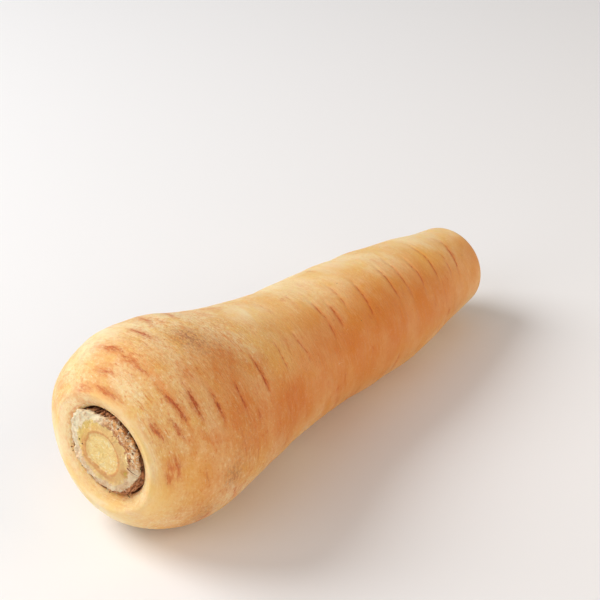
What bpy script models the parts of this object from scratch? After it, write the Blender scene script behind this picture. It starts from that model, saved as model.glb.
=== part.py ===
"""A trimmed parsnip root, lying on its side.

The root runs along X, from the crown at -X to the trimmed tail at +X, with Z up. The origin
is on the surface that the root lies on, under the middle of its box. It grew as one piece,
so it is one closed solid: the skin, the moat round the crown, the stub of the cut leaf
stalks that stands in it, and the cut at the tail.

Sizes here are millimetres. A place on the root has a station, the distance along its pith
line from the front of the crown, and an angle round it, from 0 on top through 90 on the near
side (-Y) to 180 underneath. The last step turns the mesh to metres.
"""

import math

import bmesh
import bpy
import numpy as np

# Driving sizes
CROWN_RADIUS = 31.0        # the thickest part, just behind the crown
SHOULDER_AT = 25.8         # station where the crown's dome reaches that radius
DOME_POWER = 2.76          # 2 is an ellipse, more is a flatter front with a rounder shoulder
TAIL_DOME_AT = 175.0       # station where the root rounds off to its trimmed end
TAIL_DOME_LENGTH = 7.6
TAIL_CUT_RADIUS = 10.8
TAIL_CUT_CROWNING = 0.7    # how far the middle of the tail's cut stands out
TAIL_CUT_LEAN = math.radians(-3.0)

# Radius along the body, as (share of the way from shoulder to tail dome, radius)
BODY_TAPER = (
    (0.00, 31.0), (0.12, 28.6), (0.25, 24.9), (0.40, 22.7),
    (0.55, 22.4), (0.70, 21.2), (0.85, 18.4), (1.00, 15.2),
)

# The tail's dome ends where its radius has come down to that of the cut
TAIL_DOME_TURN = math.acos(TAIL_CUT_RADIUS / BODY_TAPER[-1][1])
TAIL_EDGE_AT = TAIL_DOME_AT + TAIL_DOME_LENGTH * math.sin(TAIL_DOME_TURN)

# The pith line: it drops towards the tail, with a slight sag and a slight sideways sweep
PITH_LENGTH = 176.5
PITH_DROP = 14.9
PITH_SAG = 0.54
PITH_SWAY = 0.57
PITH_SWEEP = 0.69

# The floor trims the lowest skin to two flat spots, one under the belly, one under the tail
FLOOR_BELOW_PITH = 33.15

# Crown: the skin rolls over a lip into a narrow moat, and the stub stands inside the lip
LIP_CENTRE = (-1.8, 0.0)       # y and z of the lip's middle from the pith line
STUB_CENTRE = (-2.1, 0.65)     # y and z of the stub's middle from the pith line
CREST_RADIUS = 19.0
CREST_AT = 2.45
LIP_RADIUS = 14.4
LIP_AT = 5.65
CENTRE_BLEND_RADIUS = 26.0     # the dome is back on the pith line by this radius

# Stub, from its middle to the moat's floor and back up under the lip, as (station, radius,
# share of the stub's own centre); the rest of the centre is the lip's
STUB_FACE = ((1.95, 0.0, 1.0), (1.9, 2.6, 1.0), (1.85, 5.2, 1.0), (1.75, 7.2, 1.0),
             (1.95, 9.0, 1.0), (2.05, 10.8, 1.0), (2.2, 12.4, 1.0))
STUB_WALL = ((2.9, 13.1, 1.0), (4.1, 12.7, 0.8), (5.6, 12.1, 0.6), (7.4, 11.8, 0.4))
MOAT_WALL = ((9.0, 12.2, 0.3), (9.4, 13.1, 0.1), (8.4, 14.2, 0.0), (7.1, 14.6, 0.0))
LIP_STEPS = 7

# Swellings and dips of the whole root: station, angle, spread along, spread round, height
SWELLINGS = (
    (6.0, -172.0, 7.0, 42.0, 1.30),
    (20.0, 139.0, 10.0, 26.0, 0.70),
    (38.0, 127.0, 10.0, 28.0, 0.30),
    (13.0, -48.0, 8.0, 22.0, -0.85),
    (37.0, -28.0, 6.5, 32.0, 1.15),
    (57.0, 127.0, 6.5, 32.0, 0.80),
    (83.0, -34.0, 5.5, 32.0, -0.55),
    (107.0, -36.0, 4.5, 32.0, -0.30),
    (122.5, -35.0, 7.0, 36.0, -0.85),
    (154.0, -31.0, 6.0, 36.0, 0.40),
    (166.0, -27.0, 6.0, 36.0, -0.45),
    (127.0, 180.0, 26.0, 55.0, 1.15),
)

# Slow unevenness, as waves: per millimetre along, whole turns round, height, phase
WAVES = ((0.115, 2, 0.16, 0.4), (0.071, 3, 0.18, 2.1), (0.19, 1, 0.12, 4.4), (0.31, 2, 0.09, 1.3))

# Ring creases: station, middle angle, half the arc in degrees, depth, lean along over the arc
CREASE_WIDTH = 0.95
CREASES = (
    (12.7, 46.0, 17.0, 0.45, 1.2), (18.1, 50.0, 13.0, 0.40, -0.7), (24.7, 56.0, 14.0, 0.35, 0.2),
    (34.0, 57.0, 12.0, 0.30, -0.2), (46.6, 52.0, 15.0, 0.45, 0.2), (59.6, 48.0, 16.0, 0.30, -1.2),
    (70.6, 48.0, 18.0, 0.35, 1.4), (86.8, 38.0, 24.0, 0.45, -1.7), (91.8, 39.0, 16.0, 0.40, -0.5),
    (98.4, 26.0, 17.0, 0.30, -1.0), (107.3, 39.0, 24.0, 0.45, -2.1), (122.5, 36.0, 24.0, 0.45, -1.4),
    (129.6, 38.0, 28.0, 0.40, -2.1), (137.9, 39.0, 22.0, 0.40, -1.4), (147.9, 33.0, 30.0, 0.45, -1.9),
    (156.5, 45.0, 20.0, 0.30, -0.5), (162.7, 42.0, 34.0, 0.50, -2.9),
    (40.0, -70.0, 30.0, 0.40, 1.5), (64.0, -110.0, 34.0, 0.40, -1.8), (79.0, -64.0, 26.0, 0.35, 1.2),
    (96.0, -120.0, 40.0, 0.40, 2.0), (113.0, -75.0, 32.0, 0.40, -1.5), (128.0, -140.0, 30.0, 0.40, 1.6),
    (142.0, -88.0, 36.0, 0.45, -1.2), (155.0, -125.0, 34.0, 0.40, 1.8), (168.0, -95.0, 40.0, 0.40, -1.0),
    (52.0, 140.0, 22.0, 0.40, 1.0), (83.0, 132.0, 26.0, 0.35, -1.4), (117.0, 120.0, 24.0, 0.40, 1.2),
    (150.0, 128.0, 30.0, 0.40, -1.4), (30.0, -150.0, 20.0, 0.35, 0.8),
)

# Mesh: rings along the skin this far apart, and points round each ring
RING_SPACING = 1.75
POINTS_ROUND = 40
TAIL_DOME_STEPS = 6
METRE = 0.001

SKIN, FLESH, LEAF_BASE = range(3)


def smooth_curve(at, points):
    """Read a smooth curve through (position, value) points, with level ends."""
    x, y = np.array(points).T
    slope = np.gradient(y, x)
    slope[0] = 0.0
    k = np.clip(np.searchsorted(x, at) - 1, 0, len(x) - 2)
    width = x[k + 1] - x[k]
    t = (at - x[k]) / width
    return (
        y[k] * (1 + 2 * t) * (1 - t) ** 2
        + y[k + 1] * t * t * (3 - 2 * t)
        + width * slope[k] * t * (1 - t) ** 2
        - width * slope[k + 1] * t * t * (1 - t)
    )


def pith_line(station):
    """Give y and z of the root's middle at a station."""
    u = station / PITH_LENGTH
    y = PITH_SWAY * 4 * (u * u - u) + PITH_SWEEP * (u ** 3 - u)
    z = -PITH_DROP * u + PITH_SAG * 4 * (u * u - u)
    return y, z


def bump(distance):
    """Give a round bump that is 1 in its middle and fades with distance."""
    return math.exp(-distance * distance)


def turn_between(a, b):
    """Give the shorter turn from one angle to the other, in degrees."""
    return (a - b + 180.0) % 360.0 - 180.0


def skin_height(station, angle):
    """Give how far the skin stands out from its plain turned shape: swellings, waves and creases."""
    height = 0.0
    for at, round_at, along, around, tall in SWELLINGS:
        height += tall * bump(math.hypot((station - at) / along, turn_between(angle, round_at) / around))
    for rate, turns, tall, phase in WAVES:
        height += tall * math.sin(rate * station + turns * math.radians(angle) + phase)
    for at, round_at, half_arc, depth, lean in CREASES:
        share = turn_between(angle, round_at) / half_arc
        if abs(share) < 1.6:
            off_line = station - at - 0.5 * lean * share
            height -= depth * bump(off_line / CREASE_WIDTH) * bump(share ** 3)
    return height


def stub_height(radius, angle):
    """Give how far the cut stalk stub stands out along X: a low ring, and a torn, uneven edge."""
    turn = math.radians(angle)
    torn = 0.22 * math.sin(5 * turn + 0.7) + 0.18 * math.sin(9 * turn + 2.0)
    ring = 0.12 * bump((radius - 7.2) / 1.2)
    return ring + torn * min(1.0, max(0.0, (radius - 8.0) / 3.0))


def stub_swell(angle):
    """Give how far the stub's wall stands out, where the bases of old leaves sit side by side."""
    turn = math.radians(angle)
    return 0.16 * math.sin(7 * turn + 1.1) + 0.14 * math.sin(4 * turn + 3.0) + 0.08 * math.sin(12 * turn)


def dome_profile():
    """List (station, radius) over the skin, from the lip's edge to the edge of the tail's cut."""
    points = []
    for i in range(LIP_STEPS):
        turn = 0.5 * math.pi * i / LIP_STEPS
        points.append((LIP_AT - (LIP_AT - CREST_AT) * math.sin(turn),
                       CREST_RADIUS - (CREST_RADIUS - LIP_RADIUS) * math.cos(turn)))
    fine = [(dome_station(r), r) for r in np.linspace(CREST_RADIUS, CROWN_RADIUS, 400) if r > CREST_RADIUS + 1]
    shares, radii = np.array(BODY_TAPER).T
    stations = SHOULDER_AT + shares * (TAIL_DOME_AT - SHOULDER_AT)
    along = np.linspace(SHOULDER_AT, TAIL_DOME_AT, 400)[1:]
    fine += list(zip(along, smooth_curve(along, list(zip(stations, radii)))))
    points += even_steps([(CREST_AT, CREST_RADIUS)] + fine, RING_SPACING)
    for i in range(1, TAIL_DOME_STEPS + 1):
        turn = TAIL_DOME_TURN * i / TAIL_DOME_STEPS
        points.append((TAIL_DOME_AT + TAIL_DOME_LENGTH * math.sin(turn), BODY_TAPER[-1][1] * math.cos(turn)))
    return points


def dome_station(radius):
    """Give the station at which the crown's dome has a radius."""
    share = min(1.0, radius / CROWN_RADIUS)
    return SHOULDER_AT * (1 - (1 - share ** DOME_POWER) ** (1 / DOME_POWER))


def even_steps(points, spacing):
    """Walk a line of points in even steps of about the spacing."""
    line = np.array(points)
    walked = np.concatenate([[0.0], np.cumsum(np.linalg.norm(np.diff(line, axis=0), axis=1))])
    count = max(2, round(walked[-1] / spacing))
    at = np.linspace(0.0, walked[-1], count + 1)
    return list(zip(np.interp(at, walked, line[:, 0]), np.interp(at, walked, line[:, 1])))


def ring_centre(station, radius, stub_share):
    """Give y and z of a ring's middle: the crown's rings sit a little off the pith line."""
    y, z = pith_line(station)
    blend = min(1.0, max(0.0, (CENTRE_BLEND_RADIUS - radius) / (CENTRE_BLEND_RADIUS - LIP_RADIUS)))
    weight = blend * blend * (3 - 2 * blend) if station < SHOULDER_AT else 0.0
    off_y = LIP_CENTRE[0] + stub_share * (STUB_CENTRE[0] - LIP_CENTRE[0])
    off_z = LIP_CENTRE[1] + stub_share * (STUB_CENTRE[1] - LIP_CENTRE[1])
    return y + weight * off_y, z + weight * off_z


def place(station, radius, angle, stub_share=0.0):
    """Give the point at a station, radius and angle, trimmed by the floor."""
    y, z = ring_centre(station, radius, stub_share)
    turn = math.radians(angle)
    return (station, y - radius * math.sin(turn), max(z + radius * math.cos(turn), -FLOOR_BELOW_PITH))


def stub_rings(angles):
    """Make the rings of the stub's face and wall and of the moat, out to under the lip."""
    rings = []
    for station, radius, share in STUB_FACE[1:]:
        rings.append([place(station - stub_height(radius, a), radius, a, share) for a in angles])
    for i, (station, radius, share) in enumerate(STUB_WALL):
        torn = 0.8 - i / len(STUB_WALL)
        rings.append([place(station - torn * stub_height(radius, a), radius + stub_swell(a), a, share)
                      for a in angles])
    for station, radius, share in MOAT_WALL:
        rings.append([place(station, radius, a, share) for a in angles])
    return rings


def skin_rings(angles):
    """Make the rings of the skin, each point moved out along the profile's normal by its height."""
    profile = np.array(dome_profile())
    along = np.gradient(profile, axis=0)
    along /= np.linalg.norm(along, axis=1, keepdims=True)
    rings = []
    for (station, radius), (run, rise) in zip(profile, along):
        fade = min(1.0, max(0.0, (radius - LIP_RADIUS) / (CREST_RADIUS - LIP_RADIUS)))
        rounded_off = max(0.0, (station - TAIL_DOME_AT) / (TAIL_EDGE_AT - TAIL_DOME_AT))
        fade *= 1.0 - rounded_off
        ring = []
        for a in angles:
            height = fade * skin_height(station, a)
            leaning = rounded_off * tail_lean(radius, a)
            ring.append(place(station + leaning - rise * height, radius + run * height, a))
        rings.append(ring)
    return rings


def tail_rings(angles):
    """Make the rings of the tail's cut, a slightly crowned face that leans a little."""
    rings = []
    for share in (0.92, 0.6, 0.3):
        radius = TAIL_CUT_RADIUS * share
        middle = TAIL_EDGE_AT + TAIL_CUT_CROWNING * (1 - share * share)
        rings.append([place(middle + tail_lean(radius, a), radius, a) for a in angles])
    return rings, place(TAIL_EDGE_AT + TAIL_CUT_CROWNING, 0.0, 0.0)


def tail_lean(radius, angle):
    """Give how far the leaning cut sits back or forward at a radius and angle."""
    return -radius * math.cos(math.radians(angle)) * math.tan(TAIL_CUT_LEAN)


def to_metres(point, origin):
    """Move a point to the part's own origin, in metres."""
    return [(value - start) * METRE for value, start in zip(point, origin)]


def join_rings(mesh, rings, zones, first_pole, last_pole, origin):
    """Skin the rings, with a fan at each end, and mark each face with its zone."""
    rows = [[mesh.verts.new(to_metres(point, origin)) for point in ring] for ring in rings]
    count = len(rows[0])
    for row, next_row, zone in zip(rows, rows[1:], zones[1:]):
        for i in range(count):
            j = (i + 1) % count
            mesh.faces.new((row[i], row[j], next_row[j], next_row[i])).material_index = zone
    for pole, row, zone in ((first_pole, rows[0], zones[0]), (last_pole, rows[-1], FLESH)):
        tip = mesh.verts.new(to_metres(pole, origin))
        for i in range(count):
            mesh.faces.new((tip, row[(i + 1) % count], row[i])).material_index = zone
    bmesh.ops.recalc_face_normals(mesh, faces=mesh.faces)
    bmesh.ops.triangulate(mesh, faces=mesh.faces)


def material(name, colour, roughness):
    """Make a plain Principled material."""
    made = bpy.data.materials.new(name)
    made.use_nodes = True
    shader = made.node_tree.nodes["Principled BSDF"]
    shader.inputs["Base Color"].default_value = (*colour, 1.0)
    shader.inputs["Roughness"].default_value = roughness
    shader.inputs["Metallic"].default_value = 0.0
    made.diffuse_color = (*colour, 1.0)
    return made


def build_root():
    """Build the whole root as one closed mesh."""
    angles = [360.0 * i / POINTS_ROUND for i in range(POINTS_ROUND)]
    stub, skin = stub_rings(angles), skin_rings(angles)
    tail, tail_pole = tail_rings(angles)
    rings = stub + skin + tail
    faces_of_face = len(STUB_FACE) - 1
    zones = [FLESH] * faces_of_face + [LEAF_BASE] * (len(stub) - faces_of_face)
    zones += [SKIN] * len(skin) + [FLESH] * len(tail)
    crown_pole = place(*STUB_FACE[0][:2], 0.0, STUB_FACE[0][2])
    points = np.array([point for ring in rings for point in ring] + [crown_pole, tail_pole])
    low, high = points.min(axis=0), points.max(axis=0)
    origin = ((low[0] + high[0]) / 2, (low[1] + high[1]) / 2, low[2])

    shape = bmesh.new()
    join_rings(shape, rings, zones, crown_pole, tail_pole, origin)
    mesh = bpy.data.meshes.new("parsnip_root")
    shape.to_mesh(mesh)
    shape.free()
    mesh.materials.append(material("parsnip_skin", (0.86, 0.63, 0.33), 0.48))
    mesh.materials.append(material("cut_flesh", (0.85, 0.72, 0.44), 0.60))
    mesh.materials.append(material("leaf_base", (0.22, 0.11, 0.05), 0.80))
    mesh.shade_smooth()
    root = bpy.data.objects.new("parsnip_root", mesh)
    bpy.context.scene.collection.objects.link(root)
    return root


for old in list(bpy.data.objects):
    bpy.data.objects.remove(old, do_unlink=True)
build_root()
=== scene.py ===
"""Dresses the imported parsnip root: its skin, the cut stalk stub in the crown, the cut tail,
and the papery leaf scales, torn fibres, soil crumbs and root hairs that cling to it.

Shapes are worked out in millimetres, in the root's own terms. A station is the distance along
the pith line from the front of the crown. An angle goes round the root in degrees, from 0 on
top through 90 on the near side (-Y) to 180 underneath. Meshes are turned to the frame's metres
in one place, Placing.to_frame.
"""

import logging
import math
from dataclasses import dataclass, field
from enum import Enum
from typing import Callable, Iterable, Sequence

import bpy
import numpy as np
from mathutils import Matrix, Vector, noise


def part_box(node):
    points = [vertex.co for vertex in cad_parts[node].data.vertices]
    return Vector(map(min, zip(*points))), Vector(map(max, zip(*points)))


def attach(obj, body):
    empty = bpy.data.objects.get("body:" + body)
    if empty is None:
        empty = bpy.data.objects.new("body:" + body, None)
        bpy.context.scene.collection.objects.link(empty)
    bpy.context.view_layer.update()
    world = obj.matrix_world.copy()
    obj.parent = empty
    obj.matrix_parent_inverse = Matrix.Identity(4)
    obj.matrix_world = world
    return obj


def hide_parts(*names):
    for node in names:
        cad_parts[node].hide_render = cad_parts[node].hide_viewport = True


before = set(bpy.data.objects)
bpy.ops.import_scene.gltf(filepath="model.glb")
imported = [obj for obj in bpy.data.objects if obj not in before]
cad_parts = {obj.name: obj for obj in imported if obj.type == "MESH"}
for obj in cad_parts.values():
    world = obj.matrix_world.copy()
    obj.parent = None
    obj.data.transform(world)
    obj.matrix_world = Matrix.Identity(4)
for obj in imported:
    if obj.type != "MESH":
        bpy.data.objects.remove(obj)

LOG = logging.getLogger("parsnip")
BODY = "root"
NODE = "parsnip_root"
MM = 0.001

Array = np.ndarray
Colour = tuple[float, float, float, float]
Socket = bpy.types.NodeSocket


class Slot(Enum):
    """The record's material slots."""

    SKIN = "skin"
    CUT_FLESH = "cut_flesh"
    LEAF_BASE = "leaf_base"


def tint(red: int, green: int, blue: int) -> Colour:
    """Turn a colour given in screen values from 0 to 255 to the linear values of a shader.

    Args:
        red: the red value.
        green: the green value.
        blue: the blue value.

    Returns:
        The colour as linear red, green, blue and an alpha of 1.
    """
    shares = (value / 255.0 for value in (red, green, blue))
    linear = [s / 12.92 if s <= 0.04045 else ((s + 0.055) / 1.055) ** 2.4 for s in shares]
    return (linear[0], linear[1], linear[2], 1.0)


def smooth_step(value: Array, start: float, end: float) -> Array:
    """Rise smoothly from 0 at start to 1 at end."""
    share = np.clip((value - start) / (end - start), 0.0, 1.0)
    return share * share * (3.0 - 2.0 * share)


def turn_between(a: Array | float, b: float) -> Array:
    """Give the shorter turn from angle b to angle a, in degrees."""
    return (np.asarray(a) - b + 180.0) % 360.0 - 180.0


def smooth_curve(at: Array, points: Sequence[tuple[float, float]]) -> Array:
    """Read a smooth curve through points, with a level start.

    Args:
        at: the positions to read.
        points: (position, value) pairs, in order.

    Returns:
        The values at those positions.
    """
    x, y = np.array(points).T
    slope = np.gradient(y, x)
    slope[0] = 0.0
    k = np.clip(np.searchsorted(x, at) - 1, 0, len(x) - 2)
    width = x[k + 1] - x[k]
    t = (at - x[k]) / width
    return (
        y[k] * (1 + 2 * t) * (1 - t) ** 2
        + y[k + 1] * t * t * (3 - 2 * t)
        + width * slope[k] * t * (1 - t) ** 2
        - width * slope[k + 1] * t * t * (1 - t)
    )


def even_steps(line: Array, spacing: float) -> Array:
    """Walk a line of points in even steps of about the spacing.

    Args:
        line: the points, one a row.
        spacing: the wanted step.

    Returns:
        The new points, from the first to the last of the line.
    """
    walked = np.concatenate([[0.0], np.cumsum(np.linalg.norm(np.diff(line, axis=0), axis=1))])
    count = max(2, round(walked[-1] / spacing))
    at = np.linspace(0.0, walked[-1], count + 1)
    return np.stack([np.interp(at, walked, column) for column in line.T], axis=1)


@dataclass(frozen=True)
class Mark:
    """A crease, scar or patch on the skin.

    Its middle is at a station and angle. It reaches half_arc degrees and half_width
    millimetres each way, and leans that many millimetres along the root from end to end.
    """

    station: float
    angle: float
    half_arc: float
    half_width: float
    lean: float = 0.0
    strength: float = 1.0
    depth: float = 0.0


@dataclass(frozen=True)
class RootShape:
    """The rule that the root's surfaces follow, in millimetres, as in the solid's source."""

    crown_radius: float = 31.0
    shoulder_at: float = 25.8
    dome_power: float = 2.76
    tail_dome_at: float = 175.0
    tail_dome_length: float = 7.6
    tail_cut_radius: float = 10.8
    tail_cut_crowning: float = 0.7
    tail_cut_lean: float = math.radians(-3.0)
    body_taper: tuple[tuple[float, float], ...] = (
        (0.00, 31.0), (0.12, 28.6), (0.25, 24.9), (0.40, 22.7),
        (0.55, 22.4), (0.70, 21.2), (0.85, 18.4), (1.00, 15.2),
    )
    pith_length: float = 176.5
    pith_drop: float = 14.9
    pith_sag: float = 0.54
    pith_sway: float = 0.57
    pith_sweep: float = 0.69
    floor_below_pith: float = 33.15
    lip_centre: tuple[float, float] = (-1.8, 0.0)
    stub_centre: tuple[float, float] = (-2.1, 0.65)
    crest_radius: float = 19.0
    crest_at: float = 2.45
    lip_radius: float = 13.85
    shallow_lip: tuple[float, float, float, float] = (-105.0, 62.0, 84.0, 0.62)
    lip_at: float = 5.65
    centre_blend_radius: float = 26.0
    swellings: tuple[tuple[float, float, float, float, float], ...] = (
        (6.0, -172.0, 7.0, 42.0, 1.30), (20.0, 139.0, 10.0, 26.0, 0.70), (38.0, 127.0, 10.0, 28.0, 0.30),
        (13.0, -48.0, 8.0, 22.0, -0.85), (37.0, -28.0, 6.5, 32.0, 1.15), (57.0, 127.0, 6.5, 32.0, 0.80),
        (83.0, -34.0, 5.5, 32.0, -0.55), (107.0, -36.0, 4.5, 32.0, -0.30),
        (122.5, -35.0, 7.0, 36.0, -0.85), (154.0, -31.0, 6.0, 36.0, 0.40),
        (166.0, -27.0, 6.0, 36.0, -0.45), (127.0, 180.0, 26.0, 55.0, 1.15),
    )
    waves: tuple[tuple[float, int, float, float], ...] = (
        (0.115, 2, 0.16, 0.4), (0.071, 3, 0.18, 2.1), (0.19, 1, 0.12, 4.4), (0.31, 2, 0.09, 1.3),
    )

    @property
    def tail_dome_turn(self) -> float:
        """How far round its quarter circle the tail's dome goes before the cut."""
        return math.acos(self.tail_cut_radius / self.body_taper[-1][1])

    @property
    def tail_edge_at(self) -> float:
        """The station of the edge of the tail's cut."""
        return self.tail_dome_at + self.tail_dome_length * math.sin(self.tail_dome_turn)

    def pith(self, station: Array) -> tuple[Array, Array]:
        """Give y and z of the pith line at stations."""
        u = station / self.pith_length
        y = self.pith_sway * 4 * (u * u - u) + self.pith_sweep * (u ** 3 - u)
        return y, -self.pith_drop * u + self.pith_sag * 4 * (u * u - u)

    def swell(self, station: Array, angle: Array) -> Array:
        """Give how far the slow swellings, dips and waves raise the skin.

        Args:
            station: distance along the pith line.
            angle: degrees round the root.

        Returns:
            The height, in millimetres.
        """
        height = np.zeros(np.broadcast(station, angle).shape)
        for at, round_at, along, around, tall in self.swellings:
            aside = turn_between(angle, round_at) / around
            height += tall * np.exp(-((station - at) / along) ** 2 - aside ** 2)
        for rate, turns, tall, phase in self.waves:
            height += tall * np.sin(rate * station + turns * np.radians(angle) + phase)
        return height

    def place(self, station: Array | float, radius: Array | float, angle: Array | float,
              stub_share: float = 0.0) -> Array:
        """Give points of the root.

        Args:
            station: distance along the pith line.
            radius: distance from the ring's middle.
            angle: degrees round the root.
            stub_share: 1 for rings centred on the stub, 0 for the lip's and the body's rings.

        Returns:
            The points as x, y, z in millimetres, trimmed by the floor.
        """
        y, z = self.pith(station)
        blend = smooth_step(-np.asarray(radius, float), -self.centre_blend_radius, -self.lip_radius)
        weight = np.where(np.asarray(station) < self.shoulder_at, blend, 0.0)
        off_y = self.lip_centre[0] + stub_share * (self.stub_centre[0] - self.lip_centre[0])
        off_z = self.lip_centre[1] + stub_share * (self.stub_centre[1] - self.lip_centre[1])
        turn = np.radians(angle)
        y = y + weight * off_y - radius * np.sin(turn)
        z = np.maximum(z + weight * off_z + radius * np.cos(turn), -self.floor_below_pith)
        return np.stack(np.broadcast_arrays(station, y, z), axis=-1)

    def dome_station(self, radius: Array) -> Array:
        """Give the station at which the crown's dome has a radius."""
        share = np.minimum(1.0, radius / self.crown_radius)
        return self.shoulder_at * (1 - (1 - share ** self.dome_power) ** (1 / self.dome_power))

    def skin_line(self) -> Array:
        """Give (station, radius) rows over the skin, from the crest to where the tail rounds off."""
        radii = np.linspace(self.crest_radius + 1.0, self.crown_radius, 600)
        dome = np.stack([self.dome_station(radii), radii], axis=1)
        along = np.linspace(self.shoulder_at, self.tail_dome_at, 900)[1:]
        length = self.tail_dome_at - self.shoulder_at
        taper = [(self.shoulder_at + share * length, radius) for share, radius in self.body_taper]
        body = np.stack([along, smooth_curve(along, taper)], axis=1)
        return np.concatenate([[[self.crest_at, self.crest_radius]], dome, body])

    def lip_line(self, steps: int) -> Array:
        """Give (station, radius) rows over the lip's roll, from its inner edge to just before the crest."""
        turn = np.linspace(0.0, math.pi / 2, steps + 1)[:-1]
        return np.stack([self.lip_at - (self.lip_at - self.crest_at) * np.sin(turn),
                         self.crest_radius - (self.crest_radius - self.lip_radius) * np.cos(turn)], axis=1)

    def lip_lift(self, station: Array, angle: Array) -> Array:
        """Give how far forward the lip and the moat come on the side where the skin meets the stub."""
        middle, full, end, share = self.shallow_lip
        side = smooth_step(-np.abs(turn_between(angle, middle)), -end, -full)
        return share * side * np.clip(station - self.crest_at, 0.0, self.lip_at - self.crest_at)

    def tail_line(self, steps: int) -> Array:
        """Give (station, radius) rows over the tail's rounding, down to the edge of the cut."""
        turn = np.linspace(0.0, self.tail_dome_turn, steps + 1)[1:]
        return np.stack([self.tail_dome_at + self.tail_dome_length * np.sin(turn),
                         self.body_taper[-1][1] * np.cos(turn)], axis=1)

    def tail_lean_at(self, radius: Array, angle: Array) -> Array:
        """Give how far the leaning tail cut sits forward at a radius and angle."""
        return -radius * np.cos(np.radians(angle)) * math.tan(self.tail_cut_lean)


@dataclass(frozen=True)
class Placing:
    """Where the root's own millimetres lie in the frame: the point that is the frame's origin."""

    origin: tuple[float, float, float]

    @classmethod
    def from_frame(cls, points: Array, shape: RootShape) -> "Placing":
        """Set the root in the middle of its solid's box and on that box's floor.

        Args:
            points: the skin's points, in the root's millimetres.
            shape: the root's rule.

        Returns:
            The placing.
        """
        low, high = (np.array(corner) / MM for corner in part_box(NODE))
        middle = (points.reshape(-1, 3).min(axis=0) + points.reshape(-1, 3).max(axis=0)) / 2
        x, y = middle[:2] - (low[:2] + high[:2]) / 2
        return cls((float(x), float(y), -shape.floor_below_pith - float(low[2])))

    def to_frame(self, points: Array) -> Array:
        """Turn points from the root's millimetres to the frame's metres."""
        return (np.asarray(points, float) - np.array(self.origin)) * MM


def ring_mesh(name: str, rings: Array, first_pole: Array, last_pole: Array,
              placing: Placing) -> bpy.types.Mesh:
    """Skin rings of points into one closed mesh that faces out.

    Args:
        name: the mesh's name.
        rings: points as (ring, point round, 3), in the root's millimetres.
        first_pole: the point that closes the first ring.
        last_pole: the point that closes the last ring.
        placing: where the root lies in the frame.

    Returns:
        The mesh, shaded smooth.
    """
    rows, count = rings.shape[:2]
    points = np.concatenate([rings.reshape(-1, 3), [first_pole, last_pole]])
    i = np.arange(rows - 1)[:, None] * count
    j = np.arange(count)[None, :]
    k = (j + 1) % count
    quads = np.stack([i + j, i + k, i + count + k, i + count + j], axis=-1).reshape(-1, 4).tolist()
    first, last = rows * count, rows * count + 1
    ends = (rows - 1) * count
    fans = [(first, (n + 1) % count, n) for n in range(count)]
    fans += [(last, ends + n, ends + (n + 1) % count) for n in range(count)]
    mesh = bpy.data.meshes.new(name)
    mesh.from_pydata(placing.to_frame(points).tolist(), [], quads + fans)
    mesh.shade_smooth()
    return mesh


def store(mesh: bpy.types.Mesh, name: str, values: Array) -> None:
    """Keep a number or a vector for each point of a mesh, for its material to read.

    Args:
        mesh: the mesh.
        name: the attribute's name.
        values: one number or one 3-vector for each point.
    """
    values = np.asarray(values, np.float32)
    is_vector = values.ndim == 2
    layer = mesh.attributes.new(name, "FLOAT_VECTOR" if is_vector else "FLOAT", "POINT")
    layer.data.foreach_set("vector" if is_vector else "value", values.ravel())


def add_object(name: str, mesh: bpy.types.Mesh) -> bpy.types.Object:
    """Link a mesh to the scene as an object at the origin."""
    made = bpy.data.objects.new(name, mesh)
    bpy.context.scene.collection.objects.link(made)
    return made


class NodeBench:
    """Adds nodes to one tree, a call for each node."""

    tree: bpy.types.NodeTree

    def node(self, kind: str, inputs: dict | None = None, **settings: object) -> bpy.types.Node:
        """Add a node.

        Args:
            kind: the node's type.
            inputs: its inputs by name or number, each a value or an output socket.
            settings: its own properties.

        Returns:
            The node.
        """
        made = self.tree.nodes.new(kind)
        for key, value in settings.items():
            setattr(made, key, value)
        for key, value in (inputs or {}).items():
            self.join(value, made.inputs[key])
        return made

    def join(self, value: object, socket: Socket) -> None:
        """Link an output to a socket, or set the socket to a value."""
        if isinstance(value, Socket):
            self.tree.links.new(value, socket)
        else:
            socket.default_value = value

    def math(self, operation: str, *values: object) -> Socket:
        """Work out one number from others."""
        return self.node("ShaderNodeMath", dict(enumerate(values)), operation=operation).outputs[0]

    def times(self, one: object, other: object) -> Socket:
        """Multiply two numbers."""
        return self.math("MULTIPLY", one, other)

    def plus(self, one: object, other: object) -> Socket:
        """Add two numbers."""
        return self.math("ADD", one, other)

    def minus(self, one: object, other: object) -> Socket:
        """Take the other number from the one."""
        return self.math("SUBTRACT", one, other)

    def swing(self, level: object, reach: float) -> Socket:
        """Turn a noise around a half to a swing to both sides of nothing."""
        return self.times(self.minus(level, 0.5), reach)

    def combine(self, x: object, y: object, z: object) -> Socket:
        """Make a vector of three numbers."""
        return self.node("ShaderNodeCombineXYZ", {0: x, 1: y, 2: z}).outputs[0]

    def split(self, vector: object) -> Sequence[Socket]:
        """Give the three numbers of a vector."""
        return self.node("ShaderNodeSeparateXYZ", {0: vector}).outputs


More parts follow.
